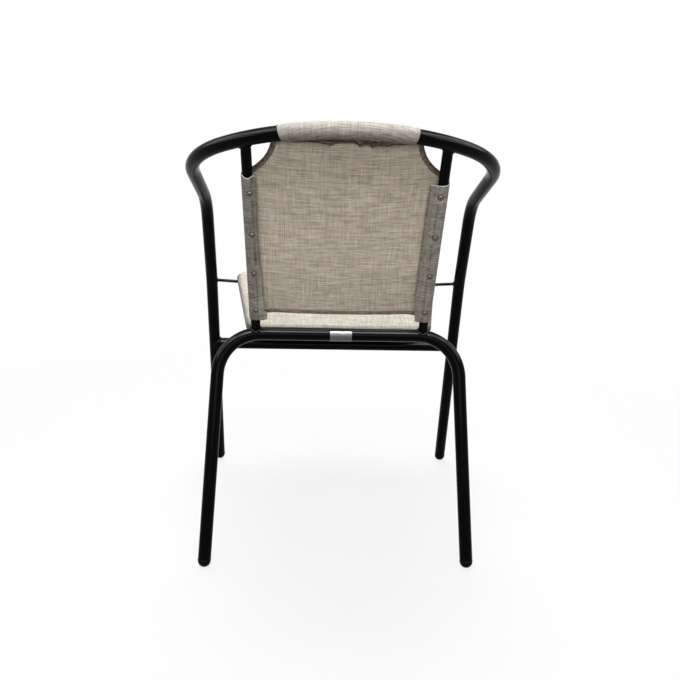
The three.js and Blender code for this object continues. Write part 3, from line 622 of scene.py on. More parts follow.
def sling_cloth(name):
    """The woven cloth. 'through' marks where light coming through it is painted in as a warm tint, 'shade'
    where painted shade darkens it, where no light comes through, in folds and on sides turned from the light,
    and 'pale' a cut edge."""
    material, g, shader = new_material(name)
    where = g.node("ShaderNodeUVMap", uv_map="cloth")
    drawn_out = lambda by: g.node("ShaderNodeVectorMath", where, (1.0, by, 1.0), operation="MULTIPLY")
    mask = lambda label: g.node("ShaderNodeAttribute", attribute_name=label).outputs["Fac"]
    weave = placed_group(
        g, SLING_WEAVE, Cloth=where, Pale_Yarn=paint(255, 251, 240), Dark_Yarn=paint(150, 140, 124),
        Pitch=YARN_PITCH, Weft_Slub=0.88, Warp_Slub=0.54, Gap_Shade=0.62,
    )
    tints = g.noise(drawn_out(3.0), 34.0, 3.0, 0.6)
    streaks = g.ramp(g.noise(drawn_out(7.0), 90.0, 3.0, 0.6), 0.3, 0.7, 0.70, 1.30)
    colour = g.mix(g.ramp(tints, 0.52, 0.66), weave["Color"], g.tinted(weave["Color"], ROSY))
    colour = g.mix(g.ramp(tints, 0.48, 0.34), colour, g.tinted(weave["Color"], OLIVE))
    # Painted light and shade: a warm tint where light comes through, then darkening by the shade mask
    colour = g.mix(mask("through"), colour, g.tinted(colour, LIT_THROUGH))
    shade = g.times(mask("shade"), streaks, clamp=True)
    colour = g.mix(shade, colour, g.tinted(colour, SHADED))
    g.fill(shader, {
        "Base Color": g.mix(mask("pale"), colour, paint(226, 221, 208)), "Roughness": weave["Roughness"],
        "Normal": g.bump(weave["Height"], 0.6, 0.0005), "Specular IOR Level": 0.1,
    })
    return material


woven_cloth = sling_cloth("woven sling cloth")


# Frame of tubes


def dressed(piece, slot, *nodes):
    """Makes a finished piece ride on the root and hides the parts it stands for. The slot is not used."""
    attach(piece, "root")
    if nodes:
        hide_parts(*nodes)
    return piece


def painted(name, node, part, sharp=SHARP_EDGE):
    return dressed(mesh_piece(name, [part], black_paint, sharp=sharp), "black_paint", node)


def seat_rail_at(y):
    """The left seat rail's centre at distances along the seat."""
    half = np.array([p for p in seat_path[0] if p[0] > 0])
    half = half[np.argsort(half[:, 1])]
    return vec(*(np.interp(y, half[:, 1], half[:, k]) for k in range(3)))


def make_frame():
    painted("arm_and_front_leg_bend", "arm_and_front_leg_tube", tube(hoop_path, TUBE_R))
    painted("rear_leg_bend", "rear_leg_tube", tube(rear_path, TUBE_R))
    beads = []

    def welded_bar(name, node, ends, radius, tubes, facets, welds, **bead_form):
        """A bar coped to the tubes at its ends, with weld beads of a size and a seed."""
        bar, *saddles, along = coped_bar(*ends, radius, *tubes, facets)
        painted(name, node, bar)
        beads.extend(weld_bead(saddle, along, *weld, **bead_form) for saddle, weld in zip(saddles, welds))

    legs = [(lerp(FRONT_FOOT, KNEE, STRETCHER_Z / KNEE[2]), unit(KNEE - FRONT_FOOT), TUBE_R)]
    legs.append((mirrored(legs[0][0]), mirrored(legs[0][1]), TUBE_R))
    welded_bar(
        "front_stretcher_bar", "front_stretcher", [leg[0] for leg in legs], TUBE_R, legs, 40,
        ((STRETCHER_BEAD, 1), (STRETCHER_BEAD, 2)),
    )
    for side, sign in (("left", 1), ("right", -1)):
        ends = on_back(sign * POST_FOOT_X, 0.0, 0.0), on_back(sign * POST_TOP_X, 0.0, BACK_HEIGHT)
        crossbar = (vec(0, CROSSBAR_Y, CROSSBAR_Z), vec(1, 0, 0), TUBE_R)
        hoop = (hoop_at(sign * POST_TOP_X), hoop_tangent(sign * POST_TOP_X), TUBE_R)
        welded_bar(
            f"back_post_bar_{side}", f"back_post_{side}", ends, POST_R, (crossbar, hoop), 32,
            ((POST_FOOT_BEAD, 3 + sign), (POST_TOP_BEAD, 6 + sign)),
        )
        outer, inner = (p * [sign, 1, 1] for p in (KNEE, seat_rail_at(KNEE[1])))
        nearest = np.argmin(np.linalg.norm(hoop_path[0] - outer, axis=1))
        knee = (hoop_path[0][nearest], unit(hoop_path[1][nearest]), TUBE_R)
        rail = (inner, unit(SEAT_SHOULDER - SEAT_FRONT) * [sign, 1, 1], RING_R)
        welded_bar(
            f"seat_rod_bar_{side}", f"seat_rod_{side}", (outer, inner), ROD_R, (knee, rail), 20,
            ((ROD_BEAD, 9 + sign),), ripples=14, sides=8,
        )
    dressed(mesh_piece("frame_weld_beads", [outward(bead) for bead in beads], black_paint), "black_paint")
    ring = skin(rings_along(seat_path, RING_R, 20, hold=vec(0, 0, 1)), closed=True)
    painted("seat_frame_loop", "seat_frame_ring", ring, sharp=None)


def foot_plug(name, node, end):
    """A rounded plug with a lip where it meets the tube, flat where it stands."""
    lip, bore = TUBE_R + PLUG_LIP, TUBE_R - PLUG_STEP
    profile = [(TUBE_R * math.sin(a), -TUBE_R * math.cos(a)) for a in math.pi / 2 * np.arange(15) / 14]
    profile += [(TUBE_R, PLUG_LIP_AT - PLUG_LIP), (lip, PLUG_LIP_AT), (lip, PLUG_COLLAR - PLUG_LIP)]
    profile += [(TUBE_R, PLUG_COLLAR), (bore, PLUG_COLLAR), (bore, PLUG_COLLAR + PLUG_DEPTH)]
    points, faces = lathe(profile, end["up"], end["dome"])
    points[:, 2] = np.maximum(points[:, 2], 0.0)
    plug = mesh_piece(name, [(points, faces)], black_plastic, sharp=math.radians(40))
    dressed(plug, "black_plastic", node)


def crossbar_band():
    """A thin plain band wrapped round the crossbar, open at the top, its two ends a little lifted."""
    turns, share = np.linspace(-math.pi - BAND_EDGE, BAND_EDGE, 90), np.linspace(0, 1, 90)
    lift = BAND_LIFT * (smooth(0.85, 1, share) + smooth(0.85, 1, 1 - share))
    rows = []
    for x in np.linspace(BAND_X - BAND_W / 2, BAND_X + BAND_W / 2, 20):
        ring = []
        for thick, order in ((BAND_T * 0.7, 1), (0.0, -1)):
            a = turns[::order]
            r = TUBE_R + CLEAR / 2 + thick + lift[::order] * (0.6 + 0.4 * math.sin(x * 310))
            ring.append(vec(x, CROSSBAR_Y + r * np.cos(a), CROSSBAR_Z + r * np.sin(a)))
        rows.append(np.concatenate(ring))
    band = mesh_piece("crossbar_wrap", [outward(skin(rows))], band_film, sharp=SHARP_EDGE)
    dressed(band, "band_film", "crossbar_band")


make_frame()
for place, ends in (("front", front_ends), ("rear", rear_ends)):
    for side, end in zip(("left", "right"), ends):
        foot_plug(f"foot_{place}_{side}", f"foot_plug_{place}_{side}", end)
crossbar_band()


# Back sling

COLUMNS, LOW_ROWS, PATCH_ROWS, SLEEVE_ROWS, WRAP_COLUMNS, TAIL_COLUMNS = 121, 96, 60, 54, 14, 10


def panel_outline():
    """The panel's left edge from the patch's foot to the scooped corner and round it to the hoop's level: the
    share of its length, across and up at each of its points. The corner starts at the second."""
    up = NOTCH_UP - NOTCH_R
    for _ in range(30):
        up = NOTCH_UP - math.sqrt(NOTCH_R**2 - (NOTCH_X - post_x(up)) ** 2)
    turns = np.linspace(
        math.atan2(up - NOTCH_UP, post_x(up) - NOTCH_X), -math.acos((SLEEVE_FRONT_X - NOTCH_X) / NOTCH_R), 40
    )
    across = np.append(post_x(PATCH_FOOT), NOTCH_X + NOTCH_R * np.cos(turns))
    up = np.append(PATCH_FOOT, NOTCH_UP + NOTCH_R * np.sin(turns))
    up[-1] = hoop_in_back(SLEEVE_FRONT_X)[1]
    length = travelled(pair(across, up))
    return length / length[-1], across, up


def panel_rearward(across, up):
    """How far the panel lies behind the posts' centres: round their fronts, bowed with the hoop between."""
    inside = np.minimum(np.abs(across), POST_TOP_X)
    hoop_rear, hoop_up = hoop_in_back(inside)
    share = np.clip((up - PANEL_FOOT) / (hoop_up - PANEL_FOOT), 0, 1)
    bow = (hoop_rear - TUBE_R + POST_R) * lerp(LOW_HEM_BOW_SHARE, 1, share**2)
    edge = smooth(SLEEVE_FRONT_X, post_x(up), np.abs(across))
    return bow * (1 - edge) - WRAP_R


def cloth_relief(across, up):
    """Small rises and hollows of the panel: pulls at the rivets, slack by the hem, ripples near the hoop."""
    relief = np.zeros_like(across)
    for height in BACK_RIVET_UP:
        for sign in (1, -1):
            away = np.abs(sign * across - post_x(up))
            fan = hump(up - height, 0.006 + 0.10 * away) * smooth(0.075, 0.006, away)
            relief += 0.0007 * fan * np.sin(away * 210 + height * 40) * (sign * across > 0)
    relief += 0.00045 * waves(across, 3, 0.16) * smooth(PANEL_FOOT + 0.06, PANEL_FOOT, up)
    relief += 0.00040 * waves(across + 0.35 * up, 5, 0.30)
    relief += 0.00015 * waves(across, 8, 0.09) * smooth(0.32, 0.36, up)
    return relief


def panel_grid():
    """Across and up of every point of the panel, from its foot to the hoop's level, and the row where its
    upper corners start."""
    s = np.linspace(-1, 1, COLUMNS)
    s = np.sign(s) * (1 - (1 - np.abs(s)) ** 1.12)
    edge = smooth(SLEEVE_FRONT_X, POST_FOOT_X, np.abs(s) * POST_FOOT_X)
    up = lerp(lerp(PANEL_FOOT, FLAP_FOOT, edge), PATCH_FOOT, np.linspace(0, 1, LOW_ROWS)[:, None])
    rows = list(pair(s * post_x(up), up))
    places, *outline = panel_outline()
    corner = places[1]
    corner_row = int(round(corner * (PATCH_ROWS - 1)))
    shares = [*np.linspace(0, corner, corner_row + 1), *np.linspace(corner, 1, PATCH_ROWS - corner_row)[1:]]
    low, top = rows[-1], pair(s * SLEEVE_FRONT_X, hoop_in_back(s * SLEEVE_FRONT_X)[1])
    for share in shares[1:]:
        plain = lerp(low, top, share)
        pull = [np.interp(share, places, line) for line in outline] - plain[-1]
        rows.append(plain + pull * pair(np.sign(s), 1) * np.abs(s)[:, None] ** 4)
    return np.array(rows), LOW_ROWS - 1 + corner_row


def seam_drop(across):
    """How far the sleeve's free edge hangs below its highest level."""
    return read(SLEEVE_HANG, across) - SLEEVE_EDGE + 0.0003 * waves(across, 23, 0.03)


def sleeve_cloth(top_row):
    """The cloth over the hoop: from its front over the top, down behind to a seam on the panel and a free
    edge. Its section at each place across is drawn rearwards and up from the hoop's centre."""
    s = top_row[:, 0] / SLEEVE_FRONT_X
    share = np.arange(1, SLEEVE_ROWS + 1)[:, None] / SLEEVE_ROWS
    stages = ((0, OVER_SHARE), (OVER_SHARE, SEAM_SHARE), (SEAM_SHARE, 1))
    over, down, free = (np.clip((share - start) / (end - start), 0, 1) for start, end in stages)
    across = s * np.where(s > 0, read(SLEEVE_ENDS[1], share), read(SLEEVE_ENDS[-1], share))
    hoop_rear, hoop_up = hoop_in_back(across)
    behind = lambda depth, off: pair(panel_rearward(across, hoop_up - depth) - hoop_rear + off, -depth)
    round_hoop = lambda angle: SLEEVE_R * pair(np.cos(angle), np.sin(angle))

    seam, drop = behind(SLEEVE_SEAM, SEAM_LIFT), seam_drop(across)
    leave = np.arctan2(seam[..., 1], seam[..., 0]) + np.arccos(SLEEVE_R / np.linalg.norm(seam, axis=-1))
    a = lerp(math.pi, leave, over)
    section = lerp(round_hoop(a), seam, down[..., None])
    section = lerp(section, behind(SLEEVE_EDGE + drop, EDGE_LIFT), free[..., None])
    bulge = 0.0002 * (1 + waves(across + 0.3 * share, 22, 0.05)) * smooth(0.35, 0.6, share)
    pleats = 0.0004 + 0.0010 * np.maximum(drop / 0.006, 0)
    bulge += pleats * np.sin(math.pi * np.minimum(1, 0.5 * down + 0.5 * free)) * (down > 0)
    bulge += 0.0004 * (1 + waves(across, 27, 0.024, 3)) * smooth(0.66, 0.9, share)
    section += unit(lerp(round_hoop(leave), np.array([0.012, -0.004]), down[..., None])) * bulge[..., None]

    tangent = hoop_tangent(across)
    rear = unit(REARWARD - tangent * (tangent @ REARWARD)[..., None])
    above = np.cross(tangent, rear)
    above *= np.sign(above[..., 2:])
    length = SLEEVE_R * (math.pi - a) + down * np.linalg.norm(seam - round_hoop(leave), axis=-1)
    # Painted shade: the cloth darkens where it turns down from the light, and most along its tail under the
    # hoop
    under = smooth(0.75, -1.0, np.sin(a - BACK_LEAN))
    return {
        "points": hoop_at(across) + rear * section[..., :1] + above * section[..., 1:],
        "uv": pair(across, hoop_up + length + free * (SLEEVE_EDGE - SLEEVE_SEAM)),
        "through": np.zeros(across.shape),
        "shade": np.minimum(0.96, 0.19 + 0.51 * under + 0.58 * smooth(0.61, 0.70, share)),
    }


def flap_cloth(side, edge_up):
    """One side's cloth from the panel's edge round the post and in behind it to the flap's free edge."""
    column = np.arange(1, WRAP_COLUMNS + TAIL_COLUMNS + 1)
    wrap, tail = np.minimum(column / WRAP_COLUMNS, 1), np.maximum(0, (column - WRAP_COLUMNS) / TAIL_COLUMNS)
    share = (edge_up - FLAP_FOOT) / (edge_up[-1] - FLAP_FOOT)
    up = lerp(FLAP_FOOT, read(FLAP_CUT[side], 0.6 * wrap + 0.4 * tail), share[:, None])
    width = read(FLAP_EDGE[side], up)
    inside = tail * width

    # Behind the post: a hollow, ridges and a fold at each rivet, and a crease between the rivets
    relief = np.zeros_like(up)
    for height in BACK_RIVET_UP:
        above, beside = up - height, inside - BACK_RIVET_IN
        away, around = np.hypot(above, beside), np.arctan2(above, beside)
        relief -= RIVET_HOLLOW * hump(away, 0.0066)
        ridges = 0.5 + 0.5 * np.sin(3 * around + height * 90 + side)
        relief += RIVET_RIDGE * hump(away - 0.0085, 0.0028) * ridges
        relief += RIVET_FOLD * hump(above - 0.014, 0.008) * hump(inside - 0.002, 0.0022)
    between = 1 - np.max([hump(up - height, 0.012) for height in BACK_RIVET_UP], axis=0)
    crease = hump(inside - CREASE_IN, 0.0013) * between * (wrap >= 1)
    relief -= CREASE_DEPTH * crease * smooth(0.30, 0.26, up)
    relief += 0.0006 * np.sin(up * 1250) * smooth(0.004, 0.008, inside) * hump(up - 0.064, 0.013) * (side > 0)
    relief *= wrap >= 1
    relief += 0.00035 * waves(up, 31 + side, 0.05) * smooth(0.5, 1, wrap)
    relief += 0.00022 * waves(up + 0.6 * inside, 36 + side, 0.013, 3) * smooth(0.5, 1, wrap)

    r = WRAP_R + 0.0003 * wrap + np.maximum(relief, np.where(wrap < 1, -CLEAR, -RIVET_HOLLOW))
    a = math.pi * (wrap - 0.5)
    fall = lerp(FLAP_FOOT_FALL, FLAP_FALL[side], smooth(0.06, 0.10, up)) * width / 0.018
    rearward = r * np.sin(a) - tail**2 * fall
    rearward += 0.0010 * np.sin(tail * 2.6) * (side > 0) * smooth(0.12, 0.05, up)
    # Painted shade: the flaps darkened where no light comes through the doubled cloth and along the crease; the
    # waves give a random tone
    shade = 0.22 * crease + 0.05 * waves(up, 61 + side, 0.06) + 0.05 * waves(up + 2 * inside, 64 + side, 0.02)
    shade += lerp(0.66, lerp(0.36, 0.58, smooth(0.10, 0.15, up)), tail) if side > 0 else 0.56
    return {
        "points": on_back(side * (post_x(up) + r * np.cos(a) - inside), rearward, up),
        "uv": pair(side * (POST_TOP_X + WRAP_R * math.pi * wrap + inside), up),
        "through": np.zeros(up.shape), "shade": shade,
    }


def make_back_sling():
    """The panel, its sleeve over the hoop and the flaps round both posts, as one sheet of cloth."""
    plane, corner_row = panel_grid()
    across, up = plane[..., 0], plane[..., 1]
    sleeve = sleeve_cloth(plane[-1])
    # Painted light and shade: darker beside the posts, under the sleeve's edge, towards the top and near the
    # foot; the warm tint of light through the cloth is left out beside the posts
    by_post = smooth(0.005, -0.002, post_x(up) - POST_R - np.abs(across))
    by_sleeve = smooth(0.007, 0.0, hoop_in_back(across)[1] - SLEEVE_EDGE - seam_drop(across) - up)
    shade = np.maximum(0.2 * by_post, 0.40 * by_sleeve)
    shade += 0.20 * smooth(0.24, 0.335, up) + 0.12 * smooth(0.16, 0.07, up)
    panel = {
        "points": on_back(across, panel_rearward(across, up) + cloth_relief(across, up), up),
        "uv": plane, "through": 1 - by_post, "shade": shade,
    }
    sheets = [{key: np.concatenate([panel[key], sleeve[key]]) for key in panel}]
    numbers = np.arange(sheets[0]["shade"].size).reshape(sheets[0]["shade"].shape)
    faces, used = grid_faces(numbers), numbers.size
    for side, column in ((1, -1), (-1, 0)):
        flap = flap_cloth(side, plane[: corner_row + 1, column, 1])
        own = used + np.arange(flap["shade"].size).reshape(flap["shade"].shape)
        joined = grid_faces(np.column_stack([numbers[: corner_row + 1, column], own]))
        faces += joined if side > 0 else [face[::-1] for face in joined]
        sheets.append(flap)
        used += own.size
    flat = lambda key, *size: [sheet[key].reshape(-1, *size) for sheet in sheets]
    masks = {"through": flat("through"), "shade": flat("shade")}
    whole = (np.concatenate(flat("points", 3)), faces)
    sling = mesh_piece("back_sling_cloth", [whole], woven_cloth, flat("uv", 2), masks)
    thickened(sling).use_even_offset = True
    seam_row = int(SLEEVE_ROWS * 0.85)
    out = rear_normals(sleeve["points"])[seam_row]
    seam = (sleeve["points"][seam_row] + out * CLOTH * 0.5, out)
    return sling, plane, corner_row, {1: sheets[1], -1: sheets[2]}, seam


def make_back_hems(plane, corner_row, flaps):
    """The folded lower hem, the bound edges of the scooped corners and the pale cut edges of the flaps."""
    parts, uvs, masks, seams = [], [], {"through": [], "shade": [], "pale": []}, []

    def add(part, uv, *values):
        parts.append(outward(part))
        uvs.append(uv)
        for mask, value in zip(masks.values(), values):
            mask.append(np.broadcast_to(value, len(uv)).astype(float))

    across, up = plane[0][:, 0], plane[0][:, 1] + HEM_H / 2
    points = on_back(across, panel_rearward(across, up) + 0.0011 + 0.0003 * waves(across, 41, 0.05), up)
    ways = (np.tile(way, (len(points), 1)) for way in (UPWARD, REARWARD))
    part, uv = strip_along(points, *ways, HEM_H / 2, HEM_HALF_THICK)
    # Painted light and shade: the hem has the warm tint of light through the cloth, darkened with painted shade
    # and more along its lower fold
    add(part, uv, 1.0, 0.70 + 0.10 * (uv[:, 1] < -0.0020), 0.0)
    for column in (-1, 0):
        edge = plane[corner_row:, column]
        way = unit(np.gradient(edge, axis=0))
        inward = pair(-way[:, 1], way[:, 0])
        inward *= np.sign(np.sum(inward * ([0, 0.30] - edge), axis=1))[:, None]
        across, up = (edge + inward * BINDING_W * 0.42).T
        points = on_back(across, panel_rearward(across, up) + 0.0004, up)
        side = on_back(inward[:, 0], 0 * up, inward[:, 1]) - vec(0, CROSSBAR_Y, CROSSBAR_Z)
        normal = unit(np.cross(np.gradient(points, axis=0), side))
        normal *= np.sign(normal @ REARWARD)[:, None]
        seams.append((points + side * BINDING_W * 0.2 + normal * 0.0014, normal))
        part, uv = strip_along(points, side, normal, BINDING_W / 2, BINDING_HALF_THICK)
        # Painted shade: the binding darkened, most towards its outer edge
        add(part, uv, 1.0, 0.82 + 0.12 * smooth(-0.0004, -0.0030, uv[:, 1]), 0.0)
    for flap in flaps.values():
        top, uv = (flap[key][-1, WRAP_COLUMNS // 3 :] for key in ("points", "uv"))
        bead = tube((top, unit(np.gradient(top, axis=0))), CUT_EDGE_R, 8)
        add(bead, np.repeat(uv, 8, axis=0), 0.0, 0.0, 1.0)
    return mesh_piece("back_sling_hems", parts, woven_cloth, uvs, masks), seams


back_sling, back_plane, back_corner_row, back_flaps, sleeve_seam = make_back_sling()
back_hems, back_seams = make_back_hems(back_plane, back_corner_row, back_flaps)
back_seams.append(sleeve_seam)
dressed(back_sling, "woven_cloth", "back_sling")
dressed(back_hems, "woven_cloth")


# Seat sling


def seat_sections():
    """At each point round the seat frame: its place, and the ways out and down from it."""
    points, tangents = seat_path
    out = unit(np.cross(tangents, vec(0, 0, 1)))
    out *= np.sign(np.sum(out * (points - points.mean(axis=0)), axis=1))[:, None]
    down = np.cross(tangents, out)
    return points, out, unit(down * -np.sign(down[:, 2:]))


def make_seat_sling():
    """The seat's cloth: a tail below the frame, a roll up round its outside and the sagging top."""
    points, out, down = seat_sections()
    rows, uvs, shades = [], [], []

    def add(places, flat, shade):
        rows.append(places)
        uvs.append(flat[:, :2])
        shades.append(np.broadcast_to(shade, len(points)))

    # Painted shade: the tail below the frame, the roll where it turns from the light, and the top's rim, more
    # so at the rear under the back
    rear = smooth(0.04, 0.08, points[:, 1])  # the back's shade falls here
    for tail in np.linspace(1, 0, 9):
        sag = tail * (0.0012 + 0.0006 * waves(travelled(points), 51, 0.08))
        flat = points - out * (SEAT_TAIL * tail)
        add(flat + down * (RING_WRAP_R + 0.0004 - sag)[:, None], flat + 0.3, 0.5)
    for a in math.pi * np.arange(1, 14) / 14:
        shade = 0.60 * smooth(1.15, 0.5, -math.cos(a)) + 0.36 * rear * smooth(1.5, 0.6, -math.cos(a))
        round_rail = math.sin(a) * out + math.cos(a) * down
        add(points + RING_WRAP_R * round_rail, points + out * RING_WRAP_R * (a - math.pi), shade)
    rim = points - down * RING_WRAP_R
    middle = rim.mean(axis=0)
    for share in 1 - np.arange(40) / 40:
        flat = middle + (rim - middle) * share
        height = seat_rail_at(flat[:, 1])[:, 2] + RING_WRAP_R - SEAT_SAG * (1 - share**2)
        flat[:, 2] = lerp(rim[:, 2], height, smooth(1.0, 0.93, share))
        flat[:, 2] += 0.0005 * waves(flat[:, 0] + 0.4 * flat[:, 1], 52, 0.21) * smooth(1, 0.8, share)
        add(flat, flat, (0.06 + 0.34 * rear) * smooth(0.94, 1.0, share))
    places, faces = skin(rows, caps=False)
    hub, around = rows[-1].mean(axis=0), len(points)
    last = len(places) - around
    faces += [(last + j, last + (j + 1) % around, len(places)) for j in range(around)]
    places = np.concatenate([places, [hub]])
    a, b, c = places[list(faces[-1])]
    if np.cross(b - a, c - a)[2] < 0:
        faces = [face[::-1] for face in faces]
    masks = {"shade": [*shades, [0.0]]}
    sling = mesh_piece("seat_sling_cloth", [(places, faces)], woven_cloth, [*uvs, hub[None, :2]], masks)
    thickened(sling)
    return dressed(sling, "woven_cloth", "seat_sling")


seat_sling = make_seat_sling()


# Rivets and stitches


def instanced(name, places, build, material, slot, *nodes):
    """A plain mesh made by a Geometry Nodes tree that sets a copy on each of the given places."""
    mesh = bpy.data.meshes.new(name)
    mesh.from_pydata([tuple(place[0]) for place in places], [], [])
    for k, label in ((1, "out"), (2, "along")):
        attribute = mesh.attributes.new(label, "FLOAT_VECTOR", "POINT")
        values = np.array([place[k] for place in places], dtype=np.float32)
        attribute.data.foreach_set("vector", values.ravel())
    carrier = in_scene(name, mesh)
    tree, sizes = build(material)
    modifier = carrier.modifiers.new(name, "NODES")
    modifier.node_group = tree
    for item in tree.interface.items_tree:
        if item.in_out == "INPUT" and item.name in sizes:
            modifier[item.identifier] = sizes[item.name]
    plain = bpy.data.meshes.new_from_object(carrier.evaluated_get(bpy.context.evaluated_depsgraph_get()))
    carrier.modifiers.clear()
    bpy.data.objects.remove(carrier)
    plain.name = name
    dressed(in_scene(name, plain), slot, *nodes)


def geometry_tree(name, sizes):
    """An empty Geometry Nodes tree with a named input for each size."""
    inputs = {"Geometry": "mesh"} | dict.fromkeys(sizes, "value")
    return new_tree("GeometryNodeTree", name, inputs, {"Geometry": "mesh"})


def spread(g, given, out, shape, material, coat_all=True, scale=None):
    """Ends a tree: the shape on every point, its Z along the point's 'out' and its X along its 'along'."""
    way = lambda label: g.node("GeometryNodeInputNamedAttribute", label, data_type="FLOAT_VECTOR")
    ways, axes = (way("out"), way("along")), {"primary_axis": "Z", "secondary_axis": "X"}
    turn = g.node("FunctionNodeAxesToRotation", *ways, **axes)
    named = {"Points": given["Geometry"], "Instance": shape, "Rotation": turn, "Scale": scale}
    real = g.node("GeometryNodeRealizeInstances", g.node("GeometryNodeInstanceOnPoints", named=named))
    named = {"Geometry": real, "Material": material, "Selection": coat_all}
    g.put(out["Geometry"], g.node("GeometryNodeSetMaterial", named=named))


def rivet_tree(material):
    """A pop rivet of short round bars on every point: a flange darkened with painted shade, a bright crown, and
    a black sunken pin whose black is a painted shadow of the rivet's hollow centre.
    """
    sizes = {
        "Flange Radius": 0.00475, "Flange Height": 0.0006, "Crown Radius": 0.00275, "Crown Height": 0.0010,
        "Pin Radius": 0.00125,
    }
    g, given, out = geometry_tree("pop rivet heads", sizes)
    joined = g.node("GeometryNodeJoinGeometry")

    def round_bar(low, high, depth, lift, finish):
        named = {"Vertices": 24, "Side Segments": 1, "Radius Bottom": low, "Radius Top": high, "Depth": depth}
        cone = g.node("GeometryNodeMeshCone", named=named, fill_type="NGON")
        at = g.node("ShaderNodeCombineXYZ", None, None, lift)
        move = g.node("GeometryNodeTransform", named={"Geometry": cone, "Translation": at})
        coat = g.node("GeometryNodeSetMaterial", named={"Geometry": move, "Material": finish})
        g.put(joined.inputs[0], coat)

    flange, height, crown, crown_height, pin = (given[label] for label in sizes)
    half_height, crown_foot = g.times(height, 0.5), g.times(crown_height, 0.6)
    # Painted shade: the flange is coated with the darkened flange metal
    round_bar(g.times(flange, 0.97), flange, half_height, -0.0001, shadowed_rivet_flange)
    round_bar(flange, g.times(flange, 0.86), half_height, half_height, shadowed_rivet_flange)
    round_bar(g.times(crown, 1.3), crown, crown_foot, height, material)
    round_bar(crown, g.times(crown, 0.74), g.times(crown_height, 0.4), g.plus(height, crown_foot), material)
    # Painted shadow: a black disc for the dark hollow at the rivet's centre
    round_bar(pin, g.times(pin, 0.9), 0.00012, g.plus(height, crown_height), black_plastic)
    spread(g, given, out, joined, material, coat_all=False)
    return g.tree, sizes


def rivet_places():
    places = []
    for side in (1, -1):
        for up in BACK_RIVET_UP:
            across = side * (float(post_x(up)) - BACK_RIVET_IN)
            places.append((on_back(across, WRAP_R + CLOTH / 2 - 0.0002, up), REARWARD, UPWARD))
        rail = SEAT_SHOULDER - SEAT_REAR
        along = unit(rail)
        down = unit(vec(0, 0, -1) + along * along[2])
        for share in SEAT_RIVET_SHARES:
            place = SEAT_REAR + rail * share + down * (RING_R + CLEAR + CLOTH + 0.0003)
            places.append([way * [side, 1, 1] for way in (place, down, along)])
    return places


def stitch_tree(material):
    """A short raised run of thread, longest along the seam, on every point."""
    sizes = {"Stitch Length": 0.0031, "Thread Thickness": 0.0007}
    g, given, out = geometry_tree("sewn stitches", sizes)
    bead = g.node("GeometryNodeMeshUVSphere", named={"Segments": 6, "Rings": 4, "Radius": 0.5})
    length, thickness = (given[label] for label in sizes)
    spread(g, given, out, bead, material, scale=g.node("ShaderNodeCombineXYZ", length, thickness, thickness))
    return g.tree, sizes


def stitch_row(line, ways_out):
    """Evenly spaced places along a line on the cloth, with the ways out of it and along the line."""
    length = travelled(line)
    at = np.arange(STITCH_PITCH / 2, length[-1], STITCH_PITCH)
    even = lambda values: vec(*(np.interp(at, length, values[:, k]) for k in range(3)))
    return zip(even(line), unit(even(ways_out)), unit(even(np.gradient(line, axis=0))))


def stitch_places():
    """Along the hem and the scooped corners, the seam under the hoop, and the flaps round both posts."""
    reach = POST_FOOT_X - HEM_STITCH_STOP
    across = np.linspace(-reach, reach, 60)
    up = np.full(len(across), PANEL_FOOT + HEM_H * 0.8)
    face = on_back(across, panel_rearward(across, up) + HEM_STITCH_LIFT, up)
    rows = [*back_seams, (face, np.tile(REARWARD, (len(face), 1)))]
    column = WRAP_COLUMNS - 1 + int(0.7 * TAIL_COLUMNS)
    for flap in back_flaps.values():
        out = rear_normals(flap["points"])[:, column]
        rows.append((flap["points"][:, column] + out * CLOTH * 0.5, out))
    return [place for line, out in rows for place in stitch_row(line, out)]


RIVET_ROWS = [(part, side) for part in ("back", "seat") for side in ("left", "right")]
rivet_nodes = [f"{part}_rivet_{side}_{i}" for part, side in RIVET_ROWS for i in (1, 2, 3, 4)]
instanced("sling_rivet_heads", rivet_places(), rivet_tree, rivet_metal, "rivet_metal", *rivet_nodes)
instanced("sling_stitches", stitch_places(), stitch_tree, sewing_thread, "woven_cloth")


# Camera, light and ground

F_PIXELS, SIZE = 797.64, 680
CAMERA_AT = vec(0.04916, 1.42829, 0.72433)
YAW, PITCH, ROLL = (math.radians(a) for a in (-2.18, 14.46, -1.35))
WHITE, FLOOR_GREY, WORLD_LIGHT, FLOOR_GLOW = (1, 1, 1, 1), (0.34, 0.34, 0.34, 1), 0.34, 0.78


def place_camera():
    forward = vec(math.sin(YAW) * math.cos(PITCH), -math.cos(YAW) * math.cos(PITCH), -math.sin(PITCH))
    right = vec(-math.cos(YAW), -math.sin(YAW), 0.0)
    down = np.cross(forward, right)
    down = -down if down[2] > 0 else down
    image_right = math.cos(ROLL) * right + math.sin(ROLL) * down
    image_down = -math.sin(ROLL) * right + math.cos(ROLL) * down
    data = bpy.data.cameras.new("photo view")
    data.sensor_width, data.lens = 36.0, 36.0 * F_PIXELS / SIZE
    data.clip_start, data.clip_end = 0.05, 60.0
    camera = in_scene("photo view", data)
    turn = Matrix(np.stack([image_right, -image_down, -forward], axis=-1).tolist()).to_4x4()
    camera.matrix_world = Matrix.Translation(Vector(CAMERA_AT)) @ turn
    bpy.context.scene.camera = camera


def soft_lamp(name, at, target, size, power, for_gloss_alone=False):
    data = bpy.data.lights.new(name, "AREA")
    data.shape, data.size, data.size_y = "RECTANGLE", *size
    data.energy = power
    lamp = in_scene(name, data)
    lamp.visible_diffuse = not for_gloss_alone
    lamp.location = at
    lamp.rotation_euler = (Vector(target) - Vector(at)).to_track_quat("-Z", "Y").to_euler()


